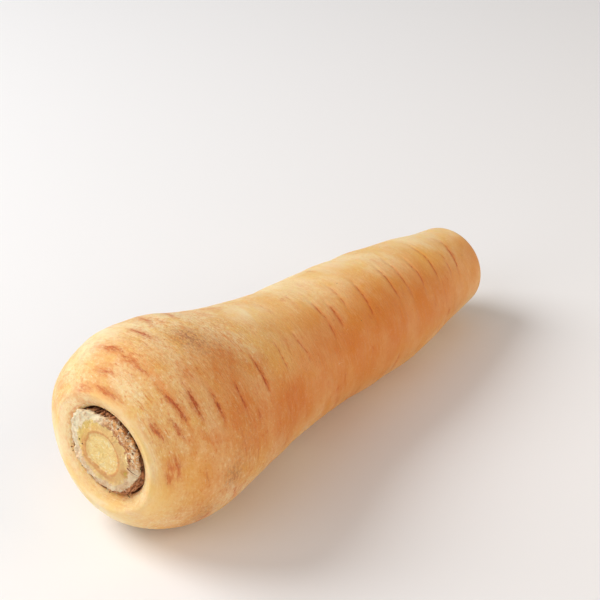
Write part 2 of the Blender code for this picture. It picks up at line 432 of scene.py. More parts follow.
class ShaderBench(NodeBench):
    """Builds one material."""

    def __init__(self, name: str) -> None:
        """Start a material that has only its Principled shader."""
        self.material = bpy.data.materials.new(name)
        self.material.use_nodes = True
        self.tree = self.material.node_tree
        self.shader = self.tree.nodes["Principled BSDF"]

    def attribute(self, name: str, is_vector: bool = False) -> Socket:
        """Read an attribute of the mesh."""
        made = self.node("ShaderNodeAttribute", attribute_name=name)
        return made.outputs["Vector" if is_vector else "Fac"]

    def stretch(self, vector: object, by: tuple[float, float, float]) -> Socket:
        """Scale a pattern's coordinates, which makes it finer along each axis."""
        return self.node("ShaderNodeVectorMath", {0: vector, 1: by}, operation="MULTIPLY").outputs[0]

    def length(self, vector: object) -> Socket:
        """Give a vector's length."""
        return self.node("ShaderNodeVectorMath", {0: vector}, operation="LENGTH").outputs["Value"]

    def noise(self, at: object, by: tuple[float, float, float], detail: float = 3.0, rough: float = 0.5,
              warp: float = 0.0) -> Socket:
        """Read a smooth noise around a half.

        Args:
            at: the coordinates.
            by: how many of the noise's cells fit in a unit, along each axis.
            detail: how many finer layers it has.
            rough: how strong the finer layers are.
            warp: how far it is distorted.

        Returns:
            The noise.
        """
        inputs = {"Vector": self.stretch(at, by), "Scale": 1.0, "Detail": detail, "Roughness": rough,
                  "Distortion": warp}
        return self.node("ShaderNodeTexNoise", inputs).outputs["Fac"]

    def cells(self, at: object, by: tuple[float, float, float]) -> Socket:
        """Read the distance to the nearest of scattered points, one to a cell."""
        inputs = {"Vector": self.stretch(at, by), "Scale": 1.0, "Randomness": 1.0}
        return self.node("ShaderNodeTexVoronoi", inputs).outputs["Distance"]

    def ease(self, value: object, start: float, end: float, low: float = 0.0,
             high: float = 1.0) -> Socket:
        """Go smoothly from low where the value is start to high where it is end."""
        inputs = {"Value": value, "From Min": start, "From Max": end, "To Min": low, "To Max": high}
        return self.node("ShaderNodeMapRange", inputs, interpolation_type="SMOOTHSTEP").outputs[0]

    def mix(self, share: object, low: object, high: object, way: str = "MIX") -> Socket:
        """Blend two colours by a share."""
        made = self.node("ShaderNodeMix", data_type="RGBA", blend_type=way, clamp_factor=True)
        for number, value in ((0, share), (6, low), (7, high)):
            self.join(value, made.inputs[number])
        return made.outputs[2]

    def finish(self, colour: object, roughness: object, relief: object,
               constants: dict[str, object]) -> bpy.types.Material:
        """Join the colour, roughness and relief to the shader.

        Args:
            colour: the base colour.
            roughness: the roughness.
            relief: the height of the fine relief, in millimetres.
            constants: values that are the same all over, set on the shader's own sockets.

        Returns:
            The finished material.
        """
        bump = self.node("ShaderNodeBump", {"Height": relief, "Distance": MM, "Strength": 1.0})
        self.join(colour, self.shader.inputs["Base Color"])
        self.join(roughness, self.shader.inputs["Roughness"])
        self.join(bump.outputs[0], self.shader.inputs["Normal"])
        for name, value in constants.items():
            self.shader.inputs[name].default_value = value
        return self.material


class GrowthBench(NodeBench):
    """Builds one Geometry Nodes tree with named sizes, and grows plain meshes with it."""

    def __init__(self, name: str, sizes: dict[str, float | int]) -> None:
        """Start a tree with a geometry input and a named input for each size.

        Args:
            name: the tree's name.
            sizes: each input's name and value; a whole number makes a whole-number input.
        """
        self.tree = bpy.data.node_groups.new(name, "GeometryNodeTree")
        self.tree.is_modifier = True
        self.sizes = sizes
        face = self.tree.interface
        face.new_socket("Geometry", in_out="INPUT", socket_type="NodeSocketGeometry")
        face.new_socket("Geometry", in_out="OUTPUT", socket_type="NodeSocketGeometry")
        for label, value in sizes.items():
            kind = "NodeSocketInt" if isinstance(value, int) else "NodeSocketFloat"
            face.new_socket(label, in_out="INPUT", socket_type=kind).default_value = value
        self.start = self.tree.nodes.new("NodeGroupInput")
        self.base = self.start.outputs[0]
        self.end = self.tree.nodes.new("NodeGroupOutput")

    def size(self, label: str) -> Socket:
        """Give the output of a named input."""
        return self.start.outputs[label]

    def place(self) -> Socket:
        """Read each point's place."""
        return self.node("GeometryNodeInputPosition").outputs[0]

    def vector(self, operation: str, one: object, other: object) -> Socket:
        """Work out one vector from two, or from a vector and the number that scales it."""
        inputs = {0: one, "Scale" if operation == "SCALE" else 1: other}
        return self.node("ShaderNodeVectorMath", inputs, operation=operation).outputs[0]

    def random(self, low: object, high: object, salt: int) -> Socket:
        """Draw a number for each element, fixed by the tree's seed and a salt of its own.

        Args:
            low: the least value.
            high: the greatest value.
            salt: what sets this draw apart.

        Returns:
            The number.
        """
        made = self.node("FunctionNodeRandomValue", data_type="FLOAT")
        values = {"Min": low, "Max": high, "Seed": self.plus(self.size("Seed"), float(salt))}
        for socket in made.inputs:
            if socket.enabled and socket.name in values:
                self.join(values[socket.name], socket)
        return next(s for s in made.outputs if s.enabled)

    def named(self, name: str, is_vector: bool = True) -> Socket:
        """Read a named attribute."""
        kind = "FLOAT_VECTOR" if is_vector else "FLOAT"
        made = self.node("GeometryNodeInputNamedAttribute", {"Name": name}, data_type=kind)
        return next(s for s in made.outputs if s.enabled and s.name == "Attribute")

    def fade(self, value: object, start: float, end: float, high: object) -> Socket:
        """Go evenly from nothing where the value is start to high where it is end."""
        inputs = {"Value": value, "From Min": start, "From Max": end, "To Min": 0.0, "To Max": high}
        return self.node("ShaderNodeMapRange", inputs).outputs[0]

    def shift(self, geometry: object, offset: object) -> Socket:
        """Move each point by an offset."""
        return self.node("GeometryNodeSetPosition", {"Geometry": geometry, "Offset": offset}).outputs[0]

    def put(self, geometry: object, place: object) -> Socket:
        """Move each point to a place."""
        return self.node("GeometryNodeSetPosition", {"Geometry": geometry, "Position": place}).outputs[0]

    def outward(self, out: object, jitter: object) -> Socket:
        """Turn a thing's Z axis along a direction, and then by the jitter's three angles."""
        turned = self.node("FunctionNodeAxesToRotation", {0: out, 1: (-1.0, 0.0, 0.0)},
                           primary_axis="Z", secondary_axis="X").outputs[0]
        turns = {0: turned, 1: self.node("FunctionNodeEulerToRotation", {0: jitter}).outputs[0]}
        return self.node("FunctionNodeRotateRotation", turns, rotation_space="LOCAL").outputs[0]

    def scatter(self, points: object, thing: object, turn: object, size: object,
                tint_share: object) -> Socket:
        """Set a thing on each point, and make the copies real.

        Args:
            points: the points.
            thing: the geometry to copy.
            turn: each copy's rotation.
            size: each copy's scale.
            tint_share: each copy's tint, kept for its material.

        Returns:
            The copies, as real geometry.
        """
        copies = self.node("GeometryNodeInstanceOnPoints", {
            "Points": points, "Instance": thing, "Rotation": turn, "Scale": size}).outputs[0]
        kept = self.node("GeometryNodeStoreNamedAttribute", {"Geometry": copies, "Name": "tint"},
                         data_type="FLOAT", domain="INSTANCE")
        self.join(tint_share, next(s for s in kept.inputs if s.enabled and s.name == "Value"))
        return self.node("GeometryNodeRealizeInstances", {"Geometry": kept.outputs[0]}).outputs[0]

    def wiggle(self, geometry: object, reach: float, cell: float) -> Socket:
        """Move each point by a smooth noise of its place.

        Args:
            geometry: the geometry to move.
            reach: how far points move, in metres.
            cell: the size of the noise's cells, in metres.

        Returns:
            The moved geometry.
        """
        place = self.vector("SCALE", self.place(), 1.0 / cell)
        noise_node = self.node("ShaderNodeTexNoise", {"Vector": place, "Scale": 1.0, "Detail": 2.0})
        shake = self.vector("SUBTRACT", noise_node.outputs["Color"], (0.5, 0.5, 0.5))
        return self.shift(geometry, self.vector("SCALE", shake, reach))

    def keep_inside(self, geometry: object, inset: float = 0.02 * MM) -> Socket:
        """Press points that stray out of the solid's box back to just inside it."""
        low, high = (Vector(corner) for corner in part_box(NODE))
        place = self.vector("MAXIMUM", self.place(), tuple(low + Vector((inset,) * 3)))
        place = self.vector("MINIMUM", place, tuple(high - Vector((inset,) * 3)))
        return self.put(geometry, place)

    def finish(self, geometry: object, material: bpy.types.Material) -> None:
        """End the tree: instances made real, shading smooth, material set."""
        real = self.node("GeometryNodeRealizeInstances", {"Geometry": geometry}).outputs[0]
        shaded = self.node("GeometryNodeSetShadeSmooth", {"Geometry": real}).outputs[0]
        dressed = self.node("GeometryNodeSetMaterial", {"Geometry": shaded, "Material": material}).outputs[0]
        self.tree.links.new(dressed, self.end.inputs[0])

    def grow(self, name: str, base: bpy.types.Mesh) -> bpy.types.Object:
        """Run the tree on a base mesh and keep the result as a plain mesh.

        Args:
            name: the finished object's name.
            base: the mesh that the tree starts from.

        Returns:
            The object, with its plain mesh and no modifier.
        """
        made = add_object(name, base)
        modifier = made.modifiers.new(self.tree.name, "NODES")
        modifier.node_group = self.tree
        for item in self.tree.interface.items_tree:
            if item.in_out == "INPUT" and item.name in self.sizes:
                modifier[item.identifier] = self.sizes[item.name]
        graph = bpy.context.evaluated_depsgraph_get()
        grown = bpy.data.meshes.new_from_object(made.evaluated_get(graph), depsgraph=graph)
        made.modifiers.remove(modifier)
        made.data = grown
        grown.name = name
        return made


def hand_over(piece: bpy.types.Object) -> None:
    """Tell the frame what a finished piece is, and report it.

    Args:
        piece: the finished piece.
    """
    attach(piece, BODY)
    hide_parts(NODE)
    triangles = sum(len(face.vertices) - 2 for face in piece.data.polygons)
    LOG.info("%s: %d triangles", piece.name, triangles)


@dataclass(frozen=True)
class SkinFinish:
    # Painted light in this skin: its tan near side and underside are partly painted shade, and its pale top
    # ridge partly a painted highlight.
    """Waxy parsnip skin: mottled cream, straw and tan, with fine rings, rust scars and creases."""

    cream: Colour = tint(250, 224, 172)
    straw: Colour = tint(238, 190, 118)
    honey: Colour = tint(242, 194, 102)
    gold: Colour = tint(250, 196, 96)
    peach: Colour = tint(230, 148, 80)
    tan: Colour = tint(220, 126, 40)
    butter: Colour = tint(247, 216, 150)
    orange: Colour = tint(220, 120, 54)
    rust: Colour = tint(206, 90, 48)
    dark_rust: Colour = tint(150, 70, 44)
    # Scuffed brown, partly painted shade on the shoulder behind the crown.
    scuff_and_shade: Colour = tint(172, 112, 80)
    pale: Colour = tint(251, 232, 194)
    milk: Colour = tint(252, 232, 190)
    speck: Colour = tint(128, 80, 44)
    shade_warmth: Colour = tint(255, 251, 239)
    # Painted shade: a warm tint laid over the deep patches on the near side and underneath.
    moat: Colour = tint(184, 112, 76)
    # Moat colours: the moat's own brown, and a darker floor that is partly painted shade.
    moat_floor_shade: Colour = tint(124, 64, 42)

    def material(self) -> bpy.types.Material:
        """Build the skin's material.

        Returns:
            The material, which reads the skin's own attributes.
        """
        bench = ShaderBench("parsnip_skin")
        grain = bench.attribute("grain", is_vector=True)
        walked = bench.split(grain)[0]
        busy = bench.ease(walked, 44.0, 84.0, 1.0, 0.36)
        colour = self.mottling(bench, grain, busy)
        colour, lines = self.ring_lines(bench, grain, colour, busy)
        pale_and_highlight = bench.attribute("pale_and_highlight")
        colour = self.pale_skin_and_highlight(bench, grain, pale_and_highlight, colour)
        colour = self.patches(bench, grain, colour)
        colour, scar = self.scars(bench, grain, colour)
        colour, crease = self.creases(bench, grain, colour, busy)
        colour = self.specks(bench, grain, colour)
        # Painted shade: the deep patches on the near side and underneath are multiplied by a warm tint.
        colour = bench.mix(bench.ease(bench.attribute("deep"), 0.05, 0.60), colour, self.shade_warmth, "MULTIPLY")
        # Browner into the moat and darkest at its floor: partly the moat's own brown, partly painted shade in
        # the recess.
        colour = bench.mix(bench.ease(walked, -5.9, -7.6, 0.0, 0.9), colour, self.moat)
        colour = bench.mix(bench.ease(walked, -8.2, -11.0), colour, self.moat_floor_shade)
        pores = bench.noise(grain, (1.9, 1.5, 1.5), detail=4.0, rough=0.65)
        ripple = bench.noise(grain, (0.95, 0.24, 0.24), detail=4.0, rough=0.6)
        relief = bench.plus(bench.times(pores, 0.24), bench.times(ripple, 0.32))
        relief = bench.times(relief, bench.times(busy, bench.ease(pale_and_highlight, 0.0, 1.0, 1.0, 0.3)))
        crepe = bench.noise(grain, (1.7, 0.55, 0.55), detail=4.0, rough=0.66, warp=0.3)
        creped = bench.times(bench.times(crepe, bench.attribute("deep")), 0.34)
        relief = bench.plus(relief, creped)
        relief = bench.minus(relief, bench.times(lines, 0.04))
        relief = bench.minus(relief, bench.times(crease, 0.10))
        torn = bench.noise(grain, (3.2, 1.4, 1.4), detail=4.0, rough=0.7)
        relief = bench.plus(relief, bench.times(bench.times(scar, torn), 0.20))
        gloss = bench.ease(bench.noise(grain, (0.30, 0.16, 0.16), detail=3.0), 0.3, 0.7, 0.44, 0.58)
        gloss = bench.plus(gloss, bench.times(scar, 0.16))
        return bench.finish(colour, gloss, relief, {
            "Subsurface Weight": 0.22, "Subsurface Radius": (1.0, 0.42, 0.16), "Subsurface Scale": 0.004,
            "Specular IOR Level": 0.28,
        })

    def mottling(self, bench: ShaderBench, grain: object, busy: object) -> Socket:
        """Blend cream, straw, honey and peach in soft clouds, and deepen the tan on the near side and
        underneath, partly the skin's own tan and partly painted shade.

        Args:
            bench: the material's bench.
            grain: the skin's noise coordinates.
            busy: how strong the fine marks are.

        Returns:
            The colour.
        """
        clouds = bench.noise(grain, (0.060, 0.050, 0.050), detail=3.0, rough=0.55, warp=0.5)
        colour = bench.mix(bench.ease(clouds, 0.36, 0.64, 0.12, 0.88), self.cream, self.straw)
        drifts = bench.noise(grain, (0.12, 0.09, 0.09), detail=3.0, rough=0.55, warp=0.4)
        colour = bench.mix(bench.ease(drifts, 0.48, 0.70, 0.0, 0.60), colour, self.honey)
        blushes = bench.noise(grain, (0.23, 0.13, 0.13), detail=4.0, rough=0.62)
        colour = bench.mix(bench.times(bench.ease(blushes, 0.48, 0.72, 0.0, 0.55), busy), colour, self.peach)
        # Painted shade in part: the deep patches lay tan over the near side and underneath, partly the skin's
        # own tan.
        uneven = bench.noise(grain, (0.17, 0.08, 0.08), detail=3.0)
        deep = bench.times(bench.attribute("deep"), bench.ease(uneven, 0.30, 0.64, 0.82, 1.0))
        colour = bench.mix(bench.times(deep, 0.92), colour, self.tan)
        muted = bench.ease(deep, 0.0, 0.9, 1.0, 0.45)
        grit = bench.noise(grain, (1.0, 0.72, 0.72), detail=5.0, rough=0.74)
        fine = bench.times(bench.ease(grit, 0.50, 0.64, 0.0, 0.56), busy)
        colour = bench.mix(fine, colour, self.peach)
        pale = bench.times(bench.ease(grit, 0.47, 0.34, 0.0, 0.60), bench.times(muted, busy))
        colour = bench.mix(pale, colour, self.pale)
        flecks = bench.noise(grain, (0.70, 0.46, 0.46), detail=4.0, rough=0.66)
        return bench.mix(bench.times(bench.ease(flecks, 0.59, 0.70, 0.0, 0.62), busy), colour, self.orange)

    def pale_skin_and_highlight(self, bench: ShaderBench, grain: object, pale_and_highlight: object, colour: object) -> Socket:
        """Lay smooth pale skin over the crown's front, painted highlight along the lit ridge on top, and gold
        low on its near side.
        """
        soft = bench.noise(grain, (0.16, 0.10, 0.10), detail=2.0, warp=0.4)
        plain = bench.mix(bench.ease(soft, 0.40, 0.64), self.milk, self.butter)
        # Pale smooth skin on the crown's front, and painted highlight along the top ridge of the body.
        colour = bench.mix(bench.times(pale_and_highlight, 0.80), colour, plain)
        return bench.mix(bench.times(bench.attribute("golden"), 0.62), colour, self.gold)

    def ring_lines(self, bench: ShaderBench, grain: object, colour: object, busy: object) -> tuple:
        """Draw the fine streaks round the root, and thin lines where a drawn-out noise is level.

        Args:
            bench: the material's bench.
            grain: the skin's noise coordinates.
            colour: the colour so far.
            busy: how strong the fine marks are.

        Returns:
            The colour, and where the thin lines are.
        """
        where = bench.ease(bench.noise(grain, (0.10, 0.07, 0.07), detail=2.0), 0.40, 0.64, 0.1, 1.0)
        where = bench.times(where, busy)
        streak = bench.noise(grain, (2.1, 0.24, 0.24), detail=4.0, rough=0.66)
        dark = bench.times(bench.ease(streak, 0.51, 0.68, 0.0, 0.55), where)
        light = bench.times(bench.ease(streak, 0.46, 0.30, 0.0, 0.35), where)
        colour = bench.mix(light, bench.mix(dark, colour, self.tan), self.pale)
        wander = bench.noise(grain, (0.85, 0.10, 0.10), detail=3.0, rough=0.55)
        level = bench.math("ABSOLUTE", bench.minus(wander, 0.5))
        line = bench.times(bench.ease(level, 0.012, 0.0), where)
        return bench.mix(bench.times(line, 0.30), colour, self.rust), line

    def patches(self, bench: ShaderBench, grain: object, colour: object) -> Socket:
        """Lay the orange blotches and the scuffed brown patches over the skin; behind the shoulder those
        patches are partly painted shade.

        Args:
            bench: the material's bench.
            grain: the skin's noise coordinates.
            colour: the colour so far.

        Returns:
            The colour.
        """
        streak = bench.noise(grain, (1.2, 0.40, 0.40), detail=4.0, rough=0.65)
        blotch = bench.times(bench.attribute("blotch"), bench.ease(streak, 0.36, 0.62))
        colour = bench.mix(bench.times(blotch, 0.70), colour, self.orange)
        ember = bench.times(bench.attribute("blotch"), bench.ease(streak, 0.56, 0.72))
        colour = bench.mix(bench.times(ember, 0.50), colour, self.rust)
        # Scuffed brown patches: partly real scuffing, partly painted shade on the shoulder behind the crown.
        worn = bench.noise(grain, (1.5, 0.9, 0.9), detail=5.0, rough=0.75)
        scuffed_and_shaded = bench.times(bench.attribute("scuffed_and_shaded"), bench.ease(worn, 0.42, 0.60, 0.25, 1.0))
        return bench.mix(bench.times(scuffed_and_shaded, 0.78), colour, self.scuff_and_shade)

    def scars(self, bench: ShaderBench, grain: object, colour: object) -> tuple:
        """Colour the scars: a faint orange rim, a frayed rust body and a darker broken core.

        Args:
            bench: the material's bench.
            grain: the skin's noise coordinates.
            colour: the colour so far.

        Returns:
            The colour, and where the scars are.
        """
        fray = bench.noise(grain, (1.5, 0.62, 0.62), detail=5.0, rough=0.75)
        inside = bench.plus(bench.attribute("scar_in"), bench.times(bench.minus(fray, 0.54), 5.4))
        power = bench.attribute("scar_power")
        halo = bench.times(bench.ease(inside, -1.9, 0.1, 0.0, 0.45), power)
        body = bench.times(bench.ease(inside, -0.25, 0.50), power)
        core = bench.times(bench.ease(inside, 0.50, 1.10, 0.0, 0.65), power)
        colour = bench.mix(halo, colour, self.orange)
        colour = bench.mix(bench.times(body, 0.72), colour, self.rust)
        return bench.mix(core, colour, self.dark_rust), body

    def creases(self, bench: ShaderBench, grain: object, colour: object, busy: object) -> tuple:
        """Draw the ring creases: a thin dark line of uneven width in a faint warm band.

        Args:
            bench: the material's bench.
            grain: the skin's noise coordinates.
            colour: the colour so far.
            busy: how strong the fine marks are.

        Returns:
            The colour, and where the lines are.
        """
        shake = bench.noise(grain, (1.2, 0.6, 0.6), detail=4.0, rough=0.72)
        off = bench.plus(bench.attribute("crease_off"), bench.swing(shake, 1.3))
        away = bench.math("ABSOLUTE", off)
        power = bench.attribute("crease_power")
        broken = bench.ease(bench.noise(grain, (0.7, 0.55, 0.55), detail=3.0), 0.40, 0.56)
        there = bench.times(broken, power)
        line = bench.times(bench.ease(away, 0.60, 0.05), there)
        band = bench.times(bench.ease(away, 1.6, 0.0, 0.0, 0.30), power)
        core = bench.times(bench.ease(away, 0.20, 0.02, 0.0, 0.75), bench.times(there, busy))
        colour = bench.mix(band, colour, self.orange)
        colour = bench.mix(bench.times(line, 0.64), colour, self.rust)
        return bench.mix(core, colour, self.dark_rust), line

    def specks(self, bench: ShaderBench, grain: object, colour: object) -> Socket:
        """Scatter a few small dark specks."""
        dots = bench.ease(bench.cells(grain, (0.30, 0.30, 0.30)), 0.075, 0.035)
        some = bench.ease(bench.noise(grain, (0.16, 0.16, 0.16), detail=1.0), 0.50, 0.62)
        return bench.mix(bench.times(bench.times(dots, some), 0.6), colour, self.speck)


@dataclass(frozen=True)
class CutFinish:
    """Dry cut flesh in rings: a torn whitish rim, straw flesh, a tan ring and a yellow pith."""

    rim: Colour = tint(240, 225, 192)
    rim_pink: Colour = tint(232, 198, 158)
    rim_shade: Colour = tint(220, 180, 138)
    rim_grey: Colour = tint(200, 172, 150)
    torn_tan: Colour = tint(222, 166, 108)
    torn_ochre: Colour = tint(206, 138, 70)
    torn_brown: Colour = tint(150, 86, 50)
    rust: Colour = tint(176, 100, 60)
    pit: Colour = tint(98, 56, 32)
    straw: Colour = tint(238, 204, 138)
    green_straw: Colour = tint(226, 194, 110)
    green: Colour = tint(186, 180, 74)
    ring: Colour = tint(214, 146, 84)
    pith: Colour = tint(244, 214, 144)
    pith_deep: Colour = tint(236, 192, 122)
    fleck: Colour = tint(250, 232, 188)
    scab: Colour = tint(206, 156, 116)
    wall_pale: Colour = tint(222, 182, 136)
    wall_tan: Colour = tint(176, 124, 84)
    wall_brown: Colour = tint(112, 62, 38)
    # Painted shade at the wall's foot, down in the moat.
    wall_foot_shade: Colour = tint(84, 42, 28)

    def material(self, name: str, ring_radius: float, rim_radius: float) -> bpy.types.Material:
        """Build the material of a cut face and of the wall behind its edge.

        Args:
            name: the material's name.
            ring_radius: the radius of the tan ring, in millimetres.
            rim_radius: the radius at which the torn rim starts.

        Returns:
            The material, which reads the piece's disc and wall attributes.
        """
        bench = ShaderBench(name)
        disc = bench.attribute("disc", is_vector=True)
        flat = bench.stretch(disc, (0.0, 1.0, 1.0))
        _, across, up = bench.split(disc)
        sway = bench.noise(flat, (1.0, 0.10, 0.10), detail=1.0)
        length = bench.length(flat)
        grit = bench.noise(disc, (1.3, 1.3, 1.3), detail=5.0, rough=0.72)
        lump = bench.noise(disc, (0.55, 0.55, 0.55), detail=3.0, rough=0.6)
        radius = bench.plus(bench.plus(length, bench.swing(sway, 3.4)), bench.swing(lump, 0.7))

        colour = bench.mix(bench.ease(radius, ring_radius - 0.3, ring_radius + 0.3),
                           self.pith_flesh(bench, flat, radius, grit),
                           self.flesh(bench, across, up, grit, lump))
        ring = self.band(bench, radius, ring_radius, 0.8)
        ring = bench.times(ring, bench.ease(lump, 0.32, 0.52, 0.40, 1.0))
        colour = bench.mix(bench.times(ring, 0.85), colour, self.ring)
        away_side = self.toward(bench, across, up, (0.7, -0.7))
        outer = bench.ease(away_side, 0.0, 6.0, 0.25, 0.80)
        for share, width, strength in ((0.84, 0.6, 0.22), (1.17, 1.6, outer)):
            faint = self.band(bench, radius, ring_radius * share, width)
            colour = bench.mix(bench.times(faint, strength), colour, self.ring)

        fray = bench.plus(length, bench.swing(lump, 5.0))
        torn = bench.ease(fray, rim_radius - 0.5, rim_radius + 0.5)
        rim = bench.mix(self.whiteness(bench, across, up, lump), self.rim_pink, self.rim)
        rim = bench.mix(bench.ease(lump, 0.50, 0.70, 0.0, 0.7), rim, self.rim_shade)
        rim = bench.mix(bench.ease(grit, 0.57, 0.72, 0.0, 0.5), rim, self.rim_grey)
        near_side = self.toward(bench, across, up, (-0.75, 0.66))
        near_side = bench.math("DIVIDE", near_side, bench.plus(length, 0.1))
        torn_side = bench.times(bench.ease(near_side, 0.62, 0.86), bench.ease(length, 3.0, 6.0))
        colour = bench.mix(torn, colour, bench.mix(torn_side, rim, self.shreds(bench, disc)))
        edge_line = self.band(bench, fray, rim_radius + 0.2, 0.75)
        colour = bench.mix(bench.times(edge_line, bench.times(torn_side, 0.75)), colour, self.rust)
        colour = self.wall(bench, disc, colour)
        fine = bench.noise(disc, (3.0, 3.0, 3.0), detail=3.0, rough=0.65)
        relief = bench.plus(bench.times(grit, 0.34), bench.times(lump, 0.45))
        relief = bench.plus(bench.plus(relief, bench.times(fine, 0.10)), bench.times(ring, 0.10))
        return bench.finish(colour, 0.66, relief, {
            "Subsurface Weight": 0.15, "Subsurface Radius": (1.0, 0.6, 0.3), "Subsurface Scale": 0.002,
            "Specular IOR Level": 0.3,
        })

    def band(self, bench: ShaderBench, radius: object, middle: float, width: float) -> Socket:
        """Give 1 on a ring at a radius, falling to 0 a width away on both sides."""
        return bench.ease(bench.math("ABSOLUTE", bench.minus(radius, middle)), width, 0.05)

    def toward(self, bench: ShaderBench, across: object, up: object,
               way: tuple[float, float]) -> Socket:
        """Tell how far a spot of the cut lies toward one side of it."""
        return bench.plus(bench.times(across, way[0]), bench.times(up, way[1]))

    def spot(self, bench: ShaderBench, across: object, up: object,
             middle: tuple[float, float]) -> Socket:
        """Give the distance from a spot of the cut, in millimetres."""
        inputs = {0: bench.combine(0.0, across, up), 1: (0.0, *middle)}
        return bench.node("ShaderNodeVectorMath", inputs, operation="DISTANCE").outputs["Value"]

    def pith_flesh(self, bench: ShaderBench, flat: object, radius: object, grit: object) -> Socket:
        """Colour the pith: yellow with a paler star, tan flecks and a greenish middle.

        Args:
            bench: the material's bench.
            flat: the place on the cut, without its depth.
            radius: the uneven distance from the middle.
            grit: a fine noise.

        Returns:
            The colour.
        """
        star = bench.noise(flat, (1.0, 0.62, 0.62), detail=4.0, rough=0.7, warp=0.8)
        inner = bench.mix(bench.ease(star, 0.52, 0.66, 0.0, 0.85), self.pith, self.pith_deep)
        inner = bench.mix(bench.ease(star, 0.47, 0.34, 0.0, 0.95), inner, self.fleck)
        inner = bench.mix(bench.ease(grit, 0.56, 0.72, 0.0, 0.40), inner, self.ring)
        return bench.mix(bench.ease(radius, 2.6, 0.6, 0.0, 0.35), inner, self.green_straw)

    def flesh(self, bench: ShaderBench, across: object, up: object, grit: object, lump: object) -> Socket:
        """Colour the flesh outside the ring: greener on the far upper side, scabbed on the near one.

        Args:
            bench: the material's bench.
            across: the place across the cut.
            up: the place up the cut.
            grit: a fine noise.
            lump: a coarse noise.

        Returns:
            The colour.
        """
        above = self.toward(bench, across, up, (0.8, 0.5))
        flesh = bench.mix(bench.ease(above, 3.0, 8.0, 0.05, 0.85), self.straw, self.green_straw)
        below = self.toward(bench, across, up, (-0.8, -0.2))
        scabbed = bench.times(bench.ease(below, 1.0, 8.0, 0.15, 1.0), bench.ease(grit, 0.46, 0.66))
        flesh = bench.mix(bench.times(scabbed, 0.5), flesh, self.scab)
        flesh = bench.mix(bench.ease(lump, 0.46, 0.30, 0.0, 0.6), flesh, self.fleck)
        spot = bench.plus(self.spot(bench, across, up, (-8.5, -3.3)), bench.swing(grit, 3.0))
        flesh = bench.mix(bench.ease(spot, 2.1, 0.9, 0.0, 0.75), flesh, self.torn_ochre)
        return bench.mix(bench.ease(spot, 1.1, 0.3, 0.0, 0.60), flesh, self.green)

    def whiteness(self, bench: ShaderBench, across: object, up: object, lump: object) -> Socket:
        """Tell where the rim is white: the far upper side and one flap low on the near side."""
        above = bench.ease(self.toward(bench, across, up, (0.77, 0.64)), 4.0, 9.0)
        flap = bench.ease(self.spot(bench, across, up, (-10.8, -4.6)), 3.2, 1.2, 0.0, 0.5)
        most = bench.math("MAXIMUM", above, flap)
        return bench.math("MAXIMUM", most, bench.ease(lump, 0.56, 0.40, 0.0, 0.7))

    def shreds(self, bench: ShaderBench, disc: object) -> Socket:
        """Colour the torn side of the rim: pink, tan and brown shreds with dark pits.

        Args:
            bench: the material's bench.
            disc: the place from the cut's middle.

        Returns:
            The colour.
        """
        lay = bench.noise(disc, (0.7, 0.55, 0.55), detail=5.0, rough=0.62, warp=0.7)
        colour = bench.mix(bench.ease(lay, 0.36, 0.50), self.rim_pink, self.torn_tan)
        colour = bench.mix(bench.ease(lay, 0.52, 0.62, 0.0, 0.9), colour, self.torn_brown)
        light = bench.noise(disc, (1.2, 0.8, 0.8), detail=4.0, rough=0.65)
        colour = bench.mix(bench.ease(light, 0.46, 0.36, 0.0, 0.7), colour, self.torn_ochre)
        colour = bench.mix(bench.ease(light, 0.51, 0.60, 0.0, 0.95), colour, self.rim)
        holes = bench.noise(disc, (0.9, 0.62, 0.62), detail=3.0, rough=0.55)
        return bench.mix(bench.ease(holes, 0.60, 0.67, 0.0, 0.95), colour, self.pit)

    def wall(self, bench: ShaderBench, disc: object, colour: object) -> Socket:
        """Colour the wall behind the cut: dry pale, tan and brown layers, with painted shade darkening it
        with depth.

        Args:
            bench: the material's bench.
            disc: the place from the cut's middle.
            colour: the colour so far.

        Returns:
            The colour.
        """
        share = bench.attribute("wall")
        layers = bench.noise(disc, (0.9, 0.8, 0.8), detail=5.0, rough=0.70)
        brown = bench.mix(bench.ease(layers, 0.36, 0.60), self.wall_brown, self.wall_tan)
        brown = bench.mix(bench.ease(layers, 0.52, 0.66, 0.0, 0.9), brown, self.wall_pale)
        # Painted shade: the wall darkens toward its foot, down in the moat.
        brown = bench.mix(bench.ease(share, 0.55, 1.0), brown, self.wall_foot_shade)
        ragged = bench.plus(share, bench.swing(layers, 0.45))
        return bench.mix(bench.ease(ragged, 0.06, 0.24), colour, brown)


@dataclass(frozen=True)
class ShredFinish:
    """A dry loose bit, in one of two colours or between them by its own draw."""

    name: str
    dark: Colour
    light: Colour
    roughness: float = 0.75
    cell: float = 2.5

    def material(self) -> bpy.types.Material:
        """Build the material, which reads each bit's own tint attribute."""
        bench = ShaderBench(self.name)
        place = bench.node("ShaderNodeTexCoord").outputs["Object"]
        streak = bench.noise(place, (self.cell / MM,) * 3, detail=4.0, rough=0.7)
        share = bench.plus(bench.attribute("tint"), bench.swing(streak, 0.9))
        colour = bench.mix(bench.ease(share, 0.05, 0.95), self.dark, self.light)
        relief = bench.times(streak, 0.10)
        return bench.finish(colour, self.roughness, relief, {"Specular IOR Level": 0.3})


